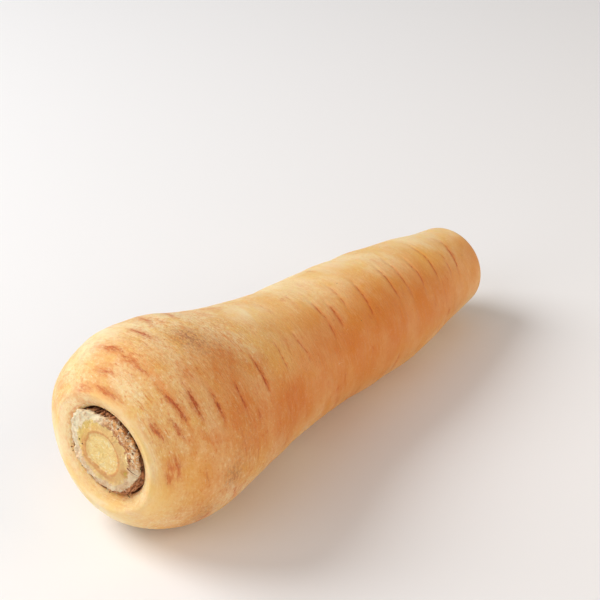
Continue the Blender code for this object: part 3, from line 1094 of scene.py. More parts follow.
@dataclass
class RootSkin:
    """The skin, from the moat's floor over the lip, crown, shoulder and body to the cut at the tail."""

    shape: RootShape
    points_round: int = 226
    row_spacing: float = 0.455
    inset: float = 0.08
    crease_width: float = 0.85
    crease_share: float = 0.6
    line_fade: float = 2.2
    moat_line: tuple[tuple[float, float], ...] = (
        (8.9, 4.0), (8.9, 8.0), (8.85, 11.0), (8.7, 12.5), (8.4, 13.4), (7.9, 14.0), (7.2, 14.3), (6.4, 14.2),
    )
    creases: tuple[Mark, ...] = (
        Mark(12.7, 46, 17, 0.3, 1.2, 0.5, 0.45), Mark(18.1, 50, 13, 0.3, -0.7, 0.5, 0.40),
        Mark(24.7, 56, 14, 0.3, 0.2, 0.7, 0.35), Mark(34.0, 57, 12, 0.3, -0.2, 0.7, 0.30),
        Mark(46.6, 52, 15, 0.3, 0.2, 1.0, 0.45), Mark(59.6, 48, 16, 0.3, -1.2, 0.7, 0.30),
        Mark(70.6, 48, 18, 0.3, 1.4, 0.7, 0.35), Mark(86.8, 38, 24, 0.3, -1.7, 0.9, 0.45),
        Mark(91.8, 39, 16, 0.3, -0.5, 0.9, 0.40), Mark(98.4, 26, 17, 0.3, -1.0, 0.6, 0.30),
        Mark(107.3, 39, 24, 0.3, -2.1, 0.9, 0.45), Mark(122.5, 36, 24, 0.3, -1.4, 0.9, 0.45),
        Mark(129.6, 38, 28, 0.3, -2.1, 0.8, 0.40), Mark(137.9, 39, 22, 0.3, -1.4, 0.8, 0.40),
        Mark(147.9, 33, 30, 0.3, -1.9, 0.9, 0.45), Mark(156.5, 45, 20, 0.3, -0.5, 0.6, 0.30),
        Mark(162.7, 42, 34, 0.3, -2.9, 1.0, 0.50), Mark(40, -70, 30, 0.3, 1.5, 0.8, 0.40),
        Mark(64, -110, 34, 0.3, -1.8, 0.8, 0.40), Mark(79, -64, 26, 0.3, 1.2, 0.8, 0.35),
        Mark(96, -120, 40, 0.3, 2.0, 0.8, 0.40), Mark(113, -75, 32, 0.3, -1.5, 0.9, 0.40),
        Mark(128, -140, 30, 0.3, 1.6, 0.7, 0.40), Mark(142, -88, 36, 0.3, -1.2, 0.9, 0.45),
        Mark(155, -125, 34, 0.3, 1.8, 0.8, 0.40), Mark(168, -95, 40, 0.3, -1.0, 0.8, 0.40),
        Mark(52, 140, 22, 0.3, 1.0, 0.8, 0.40), Mark(83, 132, 26, 0.3, -1.4, 0.7, 0.35),
        Mark(117, 120, 24, 0.3, 1.2, 0.8, 0.40), Mark(150, 128, 30, 0.3, -1.4, 0.8, 0.40),
        Mark(30, -150, 20, 0.3, 0.8, 0.7, 0.35),
    )
    scars: tuple[Mark, ...] = (
        Mark(31.5, -18, 12, 0.8, -5.0, 0.75), Mark(22.8, -3, 9, 0.9, 0.3, 0.85),
        Mark(12.9, -5.5, 8, 0.9, 1.4, 0.75), Mark(12.1, 12, 10, 0.75, 0.0, 0.6),
        Mark(3.8, 8, 13, 0.8, 0.5, 0.6), Mark(6.0, 54, 8, 1.1, 1.2, 0.75), Mark(6.7, 0, 7, 0.7, 1.2, 0.5),
        Mark(3.0, -17, 12, 0.6, 1.0, 0.45), Mark(12.7, 46, 11, 0.8, 1.2, 0.95),
        Mark(10.3, 58, 7, 0.75, 1.4, 0.8), Mark(18.1, 49, 10, 0.8, -0.7, 0.95),
        Mark(24.7, 56, 9, 0.6, 0.0, 0.8), Mark(34.1, 57, 9, 0.4, -0.2, 0.75),
        Mark(38.5, 72, 3.5, 0.5, -0.3, 0.7), Mark(46.6, 52, 12, 0.5, 0.0, 0.9),
        Mark(39.6, -16, 8, 0.7, -2.4, 0.8), Mark(79.3, 6, 2.0, 0.5, 0.0, 0.7),
        Mark(92.0, 38, 8, 0.45, -0.4, 0.7), Mark(163.4, 34, 10, 0.45, -1.4, 0.8),
        Mark(7.7, 79, 6, 1.1, 0.4, 0.45), Mark(5.4, 89, 6, 1.0, 0.3, 0.45),
    )
    blotches: tuple[Mark, ...] = (
        Mark(6.8, 0, 8, 1.9, 0.0, 1.0), Mark(12.6, -8, 7, 1.6, 0.0, 0.8), Mark(12.1, 12, 9, 1.4, 0.0, 0.7),
        Mark(22.1, 33, 5, 1.7, 0.0, 0.85), Mark(3.8, 8, 14, 1.5, 0.0, 0.8), Mark(40, 32, 7, 3.0, 0.0, 0.55),
        Mark(64.7, 42, 6, 3.0, 0.0, 0.5), Mark(6.4, 85, 10, 2.2, 0.0, 1.0), Mark(7.4, 80, 9, 1.4, 0.0, 0.8),
        Mark(2.9, -17, 13, 1.7, 0.0, 0.85), Mark(14, 8, 10, 3.0, 0.0, 0.45),
        Mark(26, 34, 9, 3.5, 0.0, 0.35), Mark(55, 78, 12, 7.0, 0.0, 0.45), Mark(20, 72, 8, 4.0, 0.0, 0.4),
    )
    # Scuffed brown patches: partly real scuffing, partly painted shade on the shoulder behind the crown.
    scuff_and_shade_patches: tuple[Mark, ...] = (
        Mark(32.5, 12, 9, 4.5, 0.0, 0.9), Mark(24.4, 98, 8, 3.5, 0.0, 0.8),
        Mark(17, 124, 12, 4.0, 0.0, 0.7), Mark(35, 24, 13, 7.0, 0.0, 0.55),
        Mark(30, 84, 16, 7.0, 0.0, 0.30),
    )
    # Pale smooth skin on the crown's front, and painted highlight along the top ridge of the body.
    pale_and_highlight_patches: tuple[Mark, ...] = (
        Mark(3.5, 176, 42, 6.0, 0.0, 1.0), Mark(5.5, -150, 40, 6.5, 0.0, 0.9),
        Mark(3.0, -100, 44, 5.0, 0.0, 0.75), Mark(2.4, 70, 46, 3.2, 0.0, 1.0),
        Mark(5.0, 112, 18, 5.0, 0.0, 0.30), Mark(20, -30, 24, 8.0, 0.0, 0.95),
        Mark(9, -34, 20, 5.0, 0.0, 0.4), Mark(61, 5, 13, 9.0, 0.0, 0.95), Mark(22, 44, 9, 4.0, 0.0, 0.38),
        Mark(52, 30, 9, 5.0, 0.0, 0.25), Mark(84, -12, 20, 14.0, 0.0, 0.12),
        Mark(112, -8, 20, 15.0, 0.0, 0.42), Mark(140, -8, 22, 14.0, 0.0, 0.24),
        Mark(165, -6, 26, 12.0, 0.0, 0.55), Mark(2.0, 0, 40, 2.6, 0.0, 0.5),
        Mark(30, -100, 30, 10.0, 0.0, 0.4), Mark(110, -30, 24, 9.0, 0.0, 0.4),
    )
    # Tan on the near side and underneath: partly the skin's own tan, partly painted shade.
    tan_and_shade_patches: tuple[Mark, ...] = (
        Mark(9, 0, 16, 5.5, 0.0, 0.22), Mark(17, 18, 15, 6.0, 0.0, 0.30), Mark(34, 40, 24, 12.0, 0.0, 0.60),
        Mark(30, 74, 26, 14.0, 0.0, 0.60), Mark(13, 86, 16, 6.0, 0.0, 0.55),
        Mark(54, 84, 28, 15.0, 0.0, 0.95), Mark(2.9, 6, 30, 2.8, 0.0, 0.42),
        Mark(5, 100, 20, 4.5, 0.0, 0.32), Mark(22, 44, 10, 4.0, 0.0, 0.30),
        Mark(80, 58, 33, 20.0, 0.0, 0.75), Mark(112, 56, 37, 22.0, 0.0, 0.82),
        Mark(144, 56, 35, 20.0, 0.0, 0.70), Mark(176, 48, 40, 12.0, 0.0, 0.60),
        Mark(14, 118, 26, 9.0, 0.0, 0.45), Mark(60, -120, 50, 26.0, 0.0, 0.55),
        Mark(130, -150, 50, 30.0, 0.0, 0.60), Mark(95, 170, 40, 26.0, 0.0, 0.45),
        Mark(84, 102, 28, 24.0, 0.0, 0.50), Mark(120, 102, 32, 26.0, 0.0, 0.50),
        Mark(156, 98, 32, 20.0, 0.0, 0.45),
    )
    golden_patches: tuple[Mark, ...] = (
        Mark(4.6, 100, 26, 5.0, 0.0, 0.9), Mark(12, 88, 16, 5.0, 0.0, 0.5),
        Mark(3.5, 128, 18, 4.5, 0.0, 0.6), Mark(2.8, 4, 34, 2.6, 0.0, 0.5), Mark(59, 48, 14, 7.0, 0.0, 0.5),
        Mark(148, 32, 14, 8.0, 0.0, 0.5), Mark(14, 14, 14, 5.0, 0.0, 0.3),
    )
    seam: tuple[float, float, float, float] = (-4.3, 0.5, -52.0, 30.0)
    small_creases: int = 90
    small_scars: int = 46
    small_blotches: int = 70
    lip_steps: int = 13
    tail_steps: int = 14
    scar_dip: float = 0.10
    smooth_before: float = -8.0
    inset_floor: float = 0.15
    end_sunk: float = 0.5
    seed: int = 7

    def profile(self) -> tuple[Array, Array]:
        """Lay out the rows of the skin.

        Returns:
            The rows as (station, radius), and how far each is over the skin from the crest.
        """
        lip = np.concatenate([np.array(self.moat_line), self.shape.lip_line(self.lip_steps)])
        skin = even_steps(self.shape.skin_line(), self.row_spacing)
        tail = self.shape.tail_line(self.tail_steps)
        rows = np.concatenate([lip, skin, tail])
        walked = np.concatenate([[0.0], np.cumsum(np.linalg.norm(np.diff(rows, axis=0), axis=1))])
        return rows, walked - walked[len(lip)]

    def random_marks(self) -> tuple[list[Mark], list[Mark], list[Mark]]:
        """Draw the small marks that cover the rest of the root.

        Returns:
            Lists of creases, scars and blotches.
        """
        draw = np.random.default_rng(self.seed)

        def pick(low: float, high: float) -> float:
            """Draw a number evenly between two."""
            return float(draw.uniform(low, high))

        def stray(reach: float) -> float:
            """Draw a number around nothing."""
            return float(draw.normal(0, reach))

        creases = [Mark(pick(14, 172), pick(-180, 180), pick(4, 13), 0.2, stray(0.7), pick(0.12, 0.45),
                        pick(0.04, 0.14)) for _ in range(self.small_creases)]
        scars = []
        for _ in range(self.small_scars):
            angle = pick(95, 330)
            scars.append(Mark(pick(5, 172), angle, pick(3, 11), pick(0.35, 0.8), stray(1.0), pick(0.4, 0.95)))
        blotches = [Mark(pick(6, 174), pick(-180, 180), pick(3, 10), pick(1.0, 3.5), 0.0, pick(0.10, 0.38))
                    for _ in range(self.small_blotches)]
        return creases, scars, blotches

    def build(self) -> tuple[Array, dict[str, Array], Array, Array]:
        """Work out the skin's points and what its material reads.

        Returns:
            The rings of points, the attributes by name, and the two poles.
        """
        rows, walked = self.profile()
        angles = np.linspace(0.0, 360.0, self.points_round, endpoint=False)[None, :]
        station, radius = rows[:, :1], rows[:, 1:]
        values = self.marks_on(rows, walked, angles)
        dip = values.pop("dip")

        shape = self.shape
        walked = walked[:, None]
        rounded = (station - shape.tail_dome_at) / (shape.tail_edge_at - shape.tail_dome_at)
        rounded = np.clip(rounded, 0.0, 1.0)
        fade = np.clip((radius - shape.lip_radius) / (shape.crest_radius - shape.lip_radius), 0, 1)
        fade = fade * (1.0 - rounded) * np.where(walked < self.smooth_before, 0.0, 1.0)
        bruise = -self.scar_dip * smooth_step(values["scar_in"], -0.2, 0.6) * values["scar_power"]
        height = fade * (shape.swell(station, angles) - dip + bruise) - self.inset
        leaning = rounded * shape.tail_lean_at(radius, angles)
        leaning = leaning - np.where(walked < 0.0, shape.lip_lift(station, angles), 0.0)
        along = np.gradient(rows, axis=0)
        along /= np.linalg.norm(along, axis=1, keepdims=True)
        rings = shape.place(station + leaning - along[:, 1:] * height, radius + along[:, :1] * height, angles)
        low = rings[..., 2] <= -shape.floor_below_pith + self.inset_floor
        turn = np.radians(angles)
        grain = np.broadcast_arrays(walked, radius * np.sin(turn), radius * np.cos(turn))
        share = np.where(low, 0.0, np.clip(fade * 1.5, 0.0, 1.0))
        values |= {"grain": np.stack(grain, axis=-1), "skin_share": share}

        first = shape.place(rows[0, 0], 0.0, 0.0)
        last = shape.place(shape.tail_edge_at - self.end_sunk, 0.0, 0.0)
        inner = last + (rings[-1] - last) * np.array([1.0, 0.95, 0.95]) - np.array([0.35, 0.0, 0.0])
        rings = np.concatenate([rings, inner[None]])
        values = {name: np.concatenate([value, value[-1:]]) for name, value in values.items()}
        return rings, values, first, last

    def marks_on(self, rows: Array, walked: Array, angles: Array) -> dict[str, Array]:
        """Work out what every mark does to the skin.

        Args:
            rows: the skin's rows, as (station, radius).
            walked: each row's distance over the skin.
            angles: the angles round the root.

        Returns:
            The marks' attributes by name, and the dip of the creases.
        """
        on_skin = walked >= 0
        known = rows[on_skin, 0], walked[on_skin]
        reach = lambda where: float(np.interp(where, *known))
        creases, scars, blotches = self.random_marks()
        walked = walked[:, None]
        off, power, dip = self.crease_fields(walked, angles, [*self.creases, *creases], reach)
        inside, scar_power = self.scar_fields(walked, angles, [*self.scars, *scars], reach)
        patches = {"blotch": [*self.blotches, *blotches], "scuffed_and_shaded": self.scuff_and_shade_patches, "deep": self.tan_and_shade_patches,
                   "pale_and_highlight": self.pale_and_highlight_patches, "golden": self.golden_patches}
        values = {name: self.patch_field(walked, angles, marks, reach) for name, marks in patches.items()}
        seam_at, seam_width, seam_middle, seam_arc = self.seam
        seam = np.exp(-((walked - seam_at) / seam_width) ** 2)
        seam = seam * smooth_step(-np.abs(turn_between(angles, seam_middle)), -seam_arc, -0.6 * seam_arc)
        values["blotch"] = np.maximum(values["blotch"], seam)
        return values | {"crease_off": off, "crease_power": power, "dip": dip, "scar_in": inside,
                         "scar_power": scar_power}

    def crease_fields(self, walked: Array, angles: Array, marks: Iterable[Mark],
                      reach: Callable[[float], float]) -> tuple[Array, Array, Array]:
        """Work out the creases.

        Args:
            walked: each row's distance over the skin.
            angles: the angles round the root.
            marks: the creases.
            reach: gives the distance over the skin at a station.

        Returns:
            The signed distance to the nearest crease's line, how strong it is, and how deep.
        """
        size = np.broadcast(walked, angles).shape
        off, power, best, dip = np.full(size, 9.0), np.zeros(size), np.zeros(size), np.zeros(size)
        for number, mark in enumerate(marks):
            share = turn_between(angles, mark.angle) / mark.half_arc
            wobble = 0.30 * np.sin(2.3 * share + number) + 0.12 * np.sin(7.1 * share + 2.0 * number)
            away = walked - reach(mark.station) - 0.5 * mark.lean * share - wobble
            window = smooth_step(-np.abs(share), -1.25, -0.65)
            strength = mark.strength * smooth_step(-np.abs(share), -0.85, -0.35)
            near = strength * np.exp(-(away / self.line_fade) ** 2)
            wins = near > best
            off, best = np.where(wins, away, off), np.where(wins, near, best)
            power = np.where(wins, strength * smooth_step(-np.abs(away), -3.6, -2.2), power)
            dip += self.crease_share * mark.depth * window * np.exp(-(away / self.crease_width) ** 2)
        return off, power, dip

    def scar_fields(self, walked: Array, angles: Array, marks: Iterable[Mark],
                    reach: Callable[[float], float]) -> tuple[Array, Array]:
        """Work out the scars.

        Args:
            walked: each row's distance over the skin.
            angles: the angles round the root.
            marks: the scars.
            reach: gives the distance over the skin at a station.

        Returns:
            How far inside the nearest scar each point is, in millimetres, and how strong it is.
        """
        size = np.broadcast(walked, angles).shape
        inside, total, weight = np.full(size, -3.0), np.zeros(size), np.full(size, 1e-6)
        for number, mark in enumerate(marks):
            share = turn_between(angles, mark.angle) / mark.half_arc
            wobble = 0.18 * np.sin(3.1 * share + number)
            away = np.abs(walked - reach(mark.station) - 0.5 * mark.lean * share - wobble)
            depth_in = mark.half_width * (1.0 - share * share) - away
            pull = np.exp(np.clip(3.0 * depth_in, -12.0, 6.0))
            total, weight = total + pull * mark.strength, weight + pull
            inside = np.maximum(inside, depth_in)
        return inside, total / weight

    def patch_field(self, walked: Array, angles: Array, marks: Iterable[Mark],
                    reach: Callable[[float], float]) -> Array:
        """Add up soft patches, from 0 to 1.

        Args:
            walked: each row's distance over the skin.
            angles: the angles round the root.
            marks: the patches.
            reach: gives the distance over the skin at a station.

        Returns:
            The patches' strength at each point.
        """
        total = np.zeros(np.broadcast(walked, angles).shape)
        for mark in marks:
            away = (walked - reach(mark.station)) / mark.half_width
            aside = turn_between(angles, mark.angle) / mark.half_arc
            total += mark.strength * np.exp(-away ** 2 - aside ** 2)
        return np.clip(total, 0.0, 1.0)

    def relief_tree(self, material: bpy.types.Material) -> GrowthBench:
        """Build the tree that raises the skin's fine wrinkles along its normals.

        Args:
            material: the skin's material.

        Returns:
            The tree.
        """
        bench = GrowthBench("skin_wrinkles", {
            "Wrinkle Height": 0.16 * MM, "Wrinkle Pitch": 2.1, "Wrinkle Reach": 16.0,
            "Dimple Height": 0.16 * MM, "Dimple Size": 5.5, "Seed": 3,
        })
        grain = bench.named("grain")
        pitch = bench.math("DIVIDE", 1.0, bench.size("Wrinkle Pitch"))
        reach = bench.math("DIVIDE", 1.0, bench.size("Wrinkle Reach"))
        size = bench.math("DIVIDE", 1.0, bench.size("Dimple Size"))
        heights = []
        for scale, label, detail in ((bench.combine(pitch, reach, reach), "Wrinkle Height", 3.0),
                                     (bench.combine(size, size, size), "Dimple Height", 2.0)):
            place = bench.vector("MULTIPLY", grain, scale)
            inputs = {"Vector": place, "W": bench.size("Seed"), "Scale": 1.0, "Detail": detail}
            bumps = bench.node("ShaderNodeTexNoise", inputs, noise_dimensions="4D").outputs[0]
            level = bench.minus(bumps, 0.75)
            heights.append(bench.times(level, bench.size(label)))
        height = bench.times(bench.plus(*heights), bench.named("skin_share", is_vector=False))
        offset = bench.vector("SCALE", bench.node("GeometryNodeInputNormal").outputs[0], height)
        bench.finish(bench.shift(bench.base, offset), material)
        return bench

    def dress(self, rings: Array, values: dict[str, Array], poles: tuple[Array, Array],
              placing: Placing) -> bpy.types.Object:
        """Make the skin's piece.

        Args:
            rings: the rings of points.
            values: the attributes by name.
            poles: the first and the last pole.
            placing: where the root lies in the frame.

        Returns:
            The finished piece.
        """
        mesh = ring_mesh("parsnip_skin", rings, *poles, placing)
        for name, value in values.items():
            flat = value.reshape(-1, 3) if name == "grain" else value.reshape(-1)
            store(mesh, name, np.concatenate([flat, flat[:1], flat[-1:]]))
        return self.relief_tree(SkinFinish().material()).grow("parsnip_skin", mesh)


@dataclass
class StalkStub:
    """The stub of the cut leaf stalks: a ringed face, a torn rim and a wall down into the moat."""

    shape: RootShape
    points_round: int = 288
    face_step: float = 0.26
    wall_step: float = 0.26
    edge_radius: float = 13.1
    ring_radius: float = 6.8
    rim_start: float = 10.1
    face_line: tuple[tuple[float, float], ...] = (
        (1.95, 0.0), (1.9, 2.6), (1.85, 5.2), (1.75, 7.2), (1.95, 9.0), (2.05, 10.8), (2.2, 12.4),
    )
    wall_line: tuple[tuple[float, float], ...] = (
        (2.2, 12.4), (2.5, 12.9), (2.9, 13.1), (4.1, 12.7), (5.6, 12.1), (7.4, 11.8), (9.0, 11.7),
        (10.3, 11.6),
    )
    centre_shares: tuple[tuple[float, float], ...] = ((2.9, 1.0), (4.1, 0.8), (5.6, 0.6), (7.4, 0.4))
    outline_shares: tuple[tuple[float, float], ...] = ((2.9, 1.0), (4.1, 0.6), (5.6, 0.3), (8.0, 0.0))
    outline: tuple[tuple[float, float], ...] = (
        (-171, 13.1), (-158, 13.0), (-145, 13.4), (-133, 13.2), (-121, 13.7), (-111, 13.7), (-102, 13.5),
        (-89, 13.3), (-77, 13.4), (-59, 13.9), (-46, 14.3), (-32, 13.5), (-21, 12.6), (-14, 12.1), (-4, 12.1),
        (13, 12.8), (25, 13.7), (37, 14.1), (46, 14.4), (58, 14.7), (72, 14.6), (81, 14.3), (91, 13.9),
        (105, 13.1), (120, 12.2), (142, 12.0), (164, 12.8), (177, 13.1),
    )

    def outline_gain(self, station: float, radius: float, angles: Array) -> Array:
        """Give how far the stub's uneven outline moves a ring out.

        Args:
            station: the ring's station.
            radius: the ring's radius before the move.
            angles: the angles round it, in degrees.

        Returns:
            The move for each angle, none in the face's middle and at the wall's foot.
        """
        at, out = np.array(self.outline).T
        gain = np.interp(angles, at, out, period=360.0) - self.edge_radius
        depth = float(np.interp(station, *np.array(self.outline_shares).T))
        return gain * depth * float(smooth_step(np.array(radius), 8.0, 12.6))

    def build(self, placing: Placing) -> bpy.types.Object:
        """Make the stub's piece.

        Args:
            placing: where the root lies in the frame.

        Returns:
            The finished piece.
        """
        face = even_steps(np.array(self.face_line), self.face_step)[1:]
        wall = even_steps(np.array(self.wall_line), self.wall_step)[1:]
        rows = np.concatenate([face, wall])
        angles = np.linspace(0.0, 360.0, self.points_round, endpoint=False)
        wall_share = np.concatenate([np.zeros(len(face)), np.linspace(0.0, 1.0, len(wall) + 1)[1:]])
        rings = np.empty((len(rows), len(angles), 3))
        for i, (station, radius) in enumerate(rows):
            stub_share = float(np.interp(station, *np.array(self.centre_shares).T))
            out, back = self.relief(station, radius, angles, wall_share[i])
            out += self.outline_gain(station, radius, angles)
            rings[i] = self.shape.place(station + back, radius + out, angles, stub_share)
        centre = self.shape.place(2.0, 0.0, 0.0, 1.0)
        front = self.shape.place(self.face_line[0][0], 0.0, 0.0, 1.0)
        behind = self.shape.place(self.wall_line[-1][0], 0.0, 0.0, 0.3)
        mesh = ring_mesh("stalk_stub", rings, front, behind, placing)
        disc = np.concatenate([rings.reshape(-1, 3), [front, behind]]) - centre
        store(mesh, "disc", disc)
        store(mesh, "wall", np.concatenate([np.repeat(wall_share, len(angles)), [0.0, 1.0]]))
        made = add_object("stalk_stub", mesh)
        made.data.materials.append(CutFinish().material("stub_cut", self.ring_radius, self.rim_start))
        return made

    def relief(self, station: float, radius: float, angles: Array, wall_share: float) -> tuple[Array, Array]:
        """Work out the stub's unevenness on one ring.

        Args:
            station: the ring's station.
            radius: the ring's radius.
            angles: the angles round it.
            wall_share: 0 on the face, rising to 1 at the foot of the wall.

        Returns:
            How far each point moves out, and how far it moves back along the root.
        """
        turn = np.radians(angles)
        torn = 0.22 * np.sin(5 * turn + 0.7) + 0.18 * np.sin(9 * turn + 2.0)
        rimness = float(np.clip((radius - 8.0) / 3.0, 0.0, 1.0))
        edge = float(np.exp(-((radius - self.edge_radius) / 1.3) ** 2)) if wall_share < 0.12 else 0.0
        out, back = np.zeros(len(angles)), np.zeros(len(angles))
        for i, a in enumerate(turn):
            place = Vector((station, radius * math.sin(a), radius * math.cos(a)))
            coarse = noise.noise(place * 0.75)
            fine = noise.noise(place * 2.3 + Vector((9, 0, 0)))
            flake = noise.noise(Vector((station * 0.35, 6.5 * math.sin(a), 6.5 * math.cos(a))))
            on_face = 0.12 * fine + 0.12 * coarse + rimness * (0.34 * coarse + 0.20 * fine)
            notch = noise.noise(place * 0.9 + Vector((0, 5, 0)))
            back[i] = on_face * (1.0 - wall_share) + edge * 0.62 * notch
            out[i] = edge * (0.60 * noise.noise(place * 0.8 + Vector((3, 0, 0))) + 0.20 * fine)
            out[i] += min(1.0, wall_share * 6.0) * (0.50 * flake + 0.16 * fine - 0.05)
        ring = 0.14 * math.exp(-((radius - 7.2) / 0.8) ** 2) if wall_share == 0.0 else 0.0
        back -= ring + torn * rimness * (0.8 - min(wall_share, 0.8))
        return out, back

    def edge_points(self, spots: Array, placing: Placing, name: str) -> bpy.types.Mesh:
        """Make loose points on and round the stub, each with its direction out.

        Args:
            spots: rows of station, radius from the stub's own middle, and angle.
            placing: where the root lies in the frame.
            name: the mesh's name.

        Returns:
            A mesh of points with out and depth attributes.
        """
        points = []
        for station, radius, angle in spots:
            share = float(np.interp(station, *np.array(self.centre_shares).T))
            gain = self.outline_gain(station, radius, np.array([angle]))
            points.append(self.shape.place(np.array([station]), radius + gain, np.array([angle]), share)[0])
        turn = np.radians(spots[:, 2])
        mesh = bpy.data.meshes.new(name)
        mesh.from_pydata(placing.to_frame(np.array(points)).tolist(), [], [])
        store(mesh, "out", np.stack([np.zeros_like(turn), -np.sin(turn), np.cos(turn)], axis=1))
        store(mesh, "depth", spots[:, 0])
        return mesh

    @staticmethod
    def ring_spots(rows: Sequence[tuple[float, float]], count: int, seed: int, jitter: float = 0.35,
                   arc: tuple[float, float] = (0.0, 360.0)) -> Array:
        """Lay out spots in rings, each a little off its even place.

        Args:
            rows: (station, radius) of each ring.
            count: the spots in each ring.
            seed: the seed of the draws.
            jitter: how far a spot strays, as a share of the spacing and, in millimetres, of its row.
            arc: the first and last angle of the rings.

        Returns:
            Rows of station, radius and angle.
        """
        draw = np.random.default_rng(seed)
        step = (arc[1] - arc[0]) / count
        spots = []
        for number, (station, radius) in enumerate(rows):
            for i in range(count):
                stray = draw.uniform(-jitter, jitter, 3)
                angle = arc[0] + (i + 0.5 * (number % 2) + stray[0]) * step
                spots.append((station + stray[1], radius + 0.4 * stray[2], angle))
        return np.array(spots)


@dataclass
class LeafScales:
    """Papery remains of leaf bases, in staggered rings round the stub's wall."""

    stub: StalkStub
    rows: tuple[tuple[float, float], ...] = ((4.3, 12.75), (5.2, 12.45), (6.3, 12.2), (7.5, 12.1))
    count: int = 46
    low_rows: tuple[tuple[float, float], ...] = ((3.9, 12.7), (4.7, 13.2), (5.3, 13.5), (5.9, 12.9))
    low_count: int = 20
    low_arc: tuple[float, float] = (96.0, 182.0)
    finish: ShredFinish = field(default_factory=lambda: ShredFinish(
        "leaf_scale", dark=tint(94, 52, 34), light=tint(216, 156, 112), cell=1.9))

    def tree(self) -> GrowthBench:
        """Build the tree: a curved tapering blade on each point, turned and sized at random, and tinted with
        painted light, lighter near the moat's mouth and low in the ring.
        """
        bench = GrowthBench("leaf_scales", {
            "Length": 2.3 * MM, "Width": 1.7 * MM, "Thickness": 0.15 * MM, "Curl": 0.5 * MM,
            "Rim Painted Light": 0.45, "Low Painted Light": 0.85, "Seed": 11,
        })
        jitter = bench.combine(bench.random(-0.5, 0.5, 1), bench.random(-0.25, 0.30, 2),
                               bench.random(-0.6, 0.6, 3))
        size = bench.combine(bench.random(0.65, 1.25, 4), bench.random(0.6, 1.2, 5), 1.0)
        # Painted light: scales nearer the moat's mouth and those low in the ring get a lighter tint, deeper
        # ones a darker one, on top of each scale's own random tint.
        front = bench.fade(bench.named("depth", is_vector=False), 7.0, 3.8, bench.size("Rim Painted Light"))
        below = bench.fade(bench.split(bench.named("out"))[2], -0.2, -0.8, bench.size("Low Painted Light"))
        tint_and_painted_light = bench.plus(bench.plus(bench.times(bench.random(0.0, 1.0, 6), 0.6), front), below)
        turn = bench.outward(bench.named("out"), jitter)
        scales = bench.scatter(bench.base, self.blade(bench), turn, size, tint_and_painted_light)
        bench.finish(bench.keep_inside(bench.wiggle(scales, 0.9 * MM, 1.0 * MM)), self.finish.material())
        return bench

    def blade(self, bench: GrowthBench) -> Socket:
        """Shape one closed blade, which narrows to its tip, bows across and curls up.

        Args:
            bench: the tree's bench.

        Returns:
            The blade's geometry.
        """
        sides = {"Size X": 1.0, "Size Y": 1.0, "Vertices X": 6, "Vertices Y": 6}
        grid = bench.node("GeometryNodeMeshGrid", sides)
        along, aside, _ = bench.split(bench.place())
        tip = bench.math("POWER", bench.plus(along, 0.5), 2.0)
        narrow = bench.minus(1.0, bench.times(tip, 0.62))
        x = bench.times(along, bench.size("Length"))
        y = bench.times(bench.times(aside, narrow), bench.size("Width"))
        bow = bench.times(bench.math("POWER", bench.times(aside, 2.0), 2.0), -0.45)
        z = bench.times(bench.plus(bow, bench.times(tip, 0.7)), bench.size("Curl"))
        blade = bench.put(grid.outputs["Mesh"], bench.combine(x, y, z))
        thick = bench.node("GeometryNodeExtrudeMesh", {
            "Mesh": blade, "Offset": (0.0, 0.0, -1.0), "Offset Scale": bench.size("Thickness"),
            "Individual": False}).outputs[0]
        joined = bench.node("GeometryNodeJoinGeometry")
        for shell in (bench.node("GeometryNodeFlipFaces", {"Mesh": thick}).outputs[0], blade):
            bench.tree.links.new(shell, joined.inputs[0])
        merged = {"Geometry": joined.outputs[0], "Distance": 1e-6}
        return bench.node("GeometryNodeMergeByDistance", merged).outputs[0]

    def build(self, placing: Placing) -> bpy.types.Object:
        """Make the scales' piece.

        Args:
            placing: turns millimetres to the frame's metres.

        Returns:
            The piece.
        """
        spots = np.concatenate([
            self.stub.ring_spots(self.rows, self.count, seed=31),
            self.stub.ring_spots(self.low_rows, self.low_count, seed=32, arc=self.low_arc),
        ])
        return self.tree().grow("leaf_scales", self.stub.edge_points(spots, placing, "leaf_scale_points"))


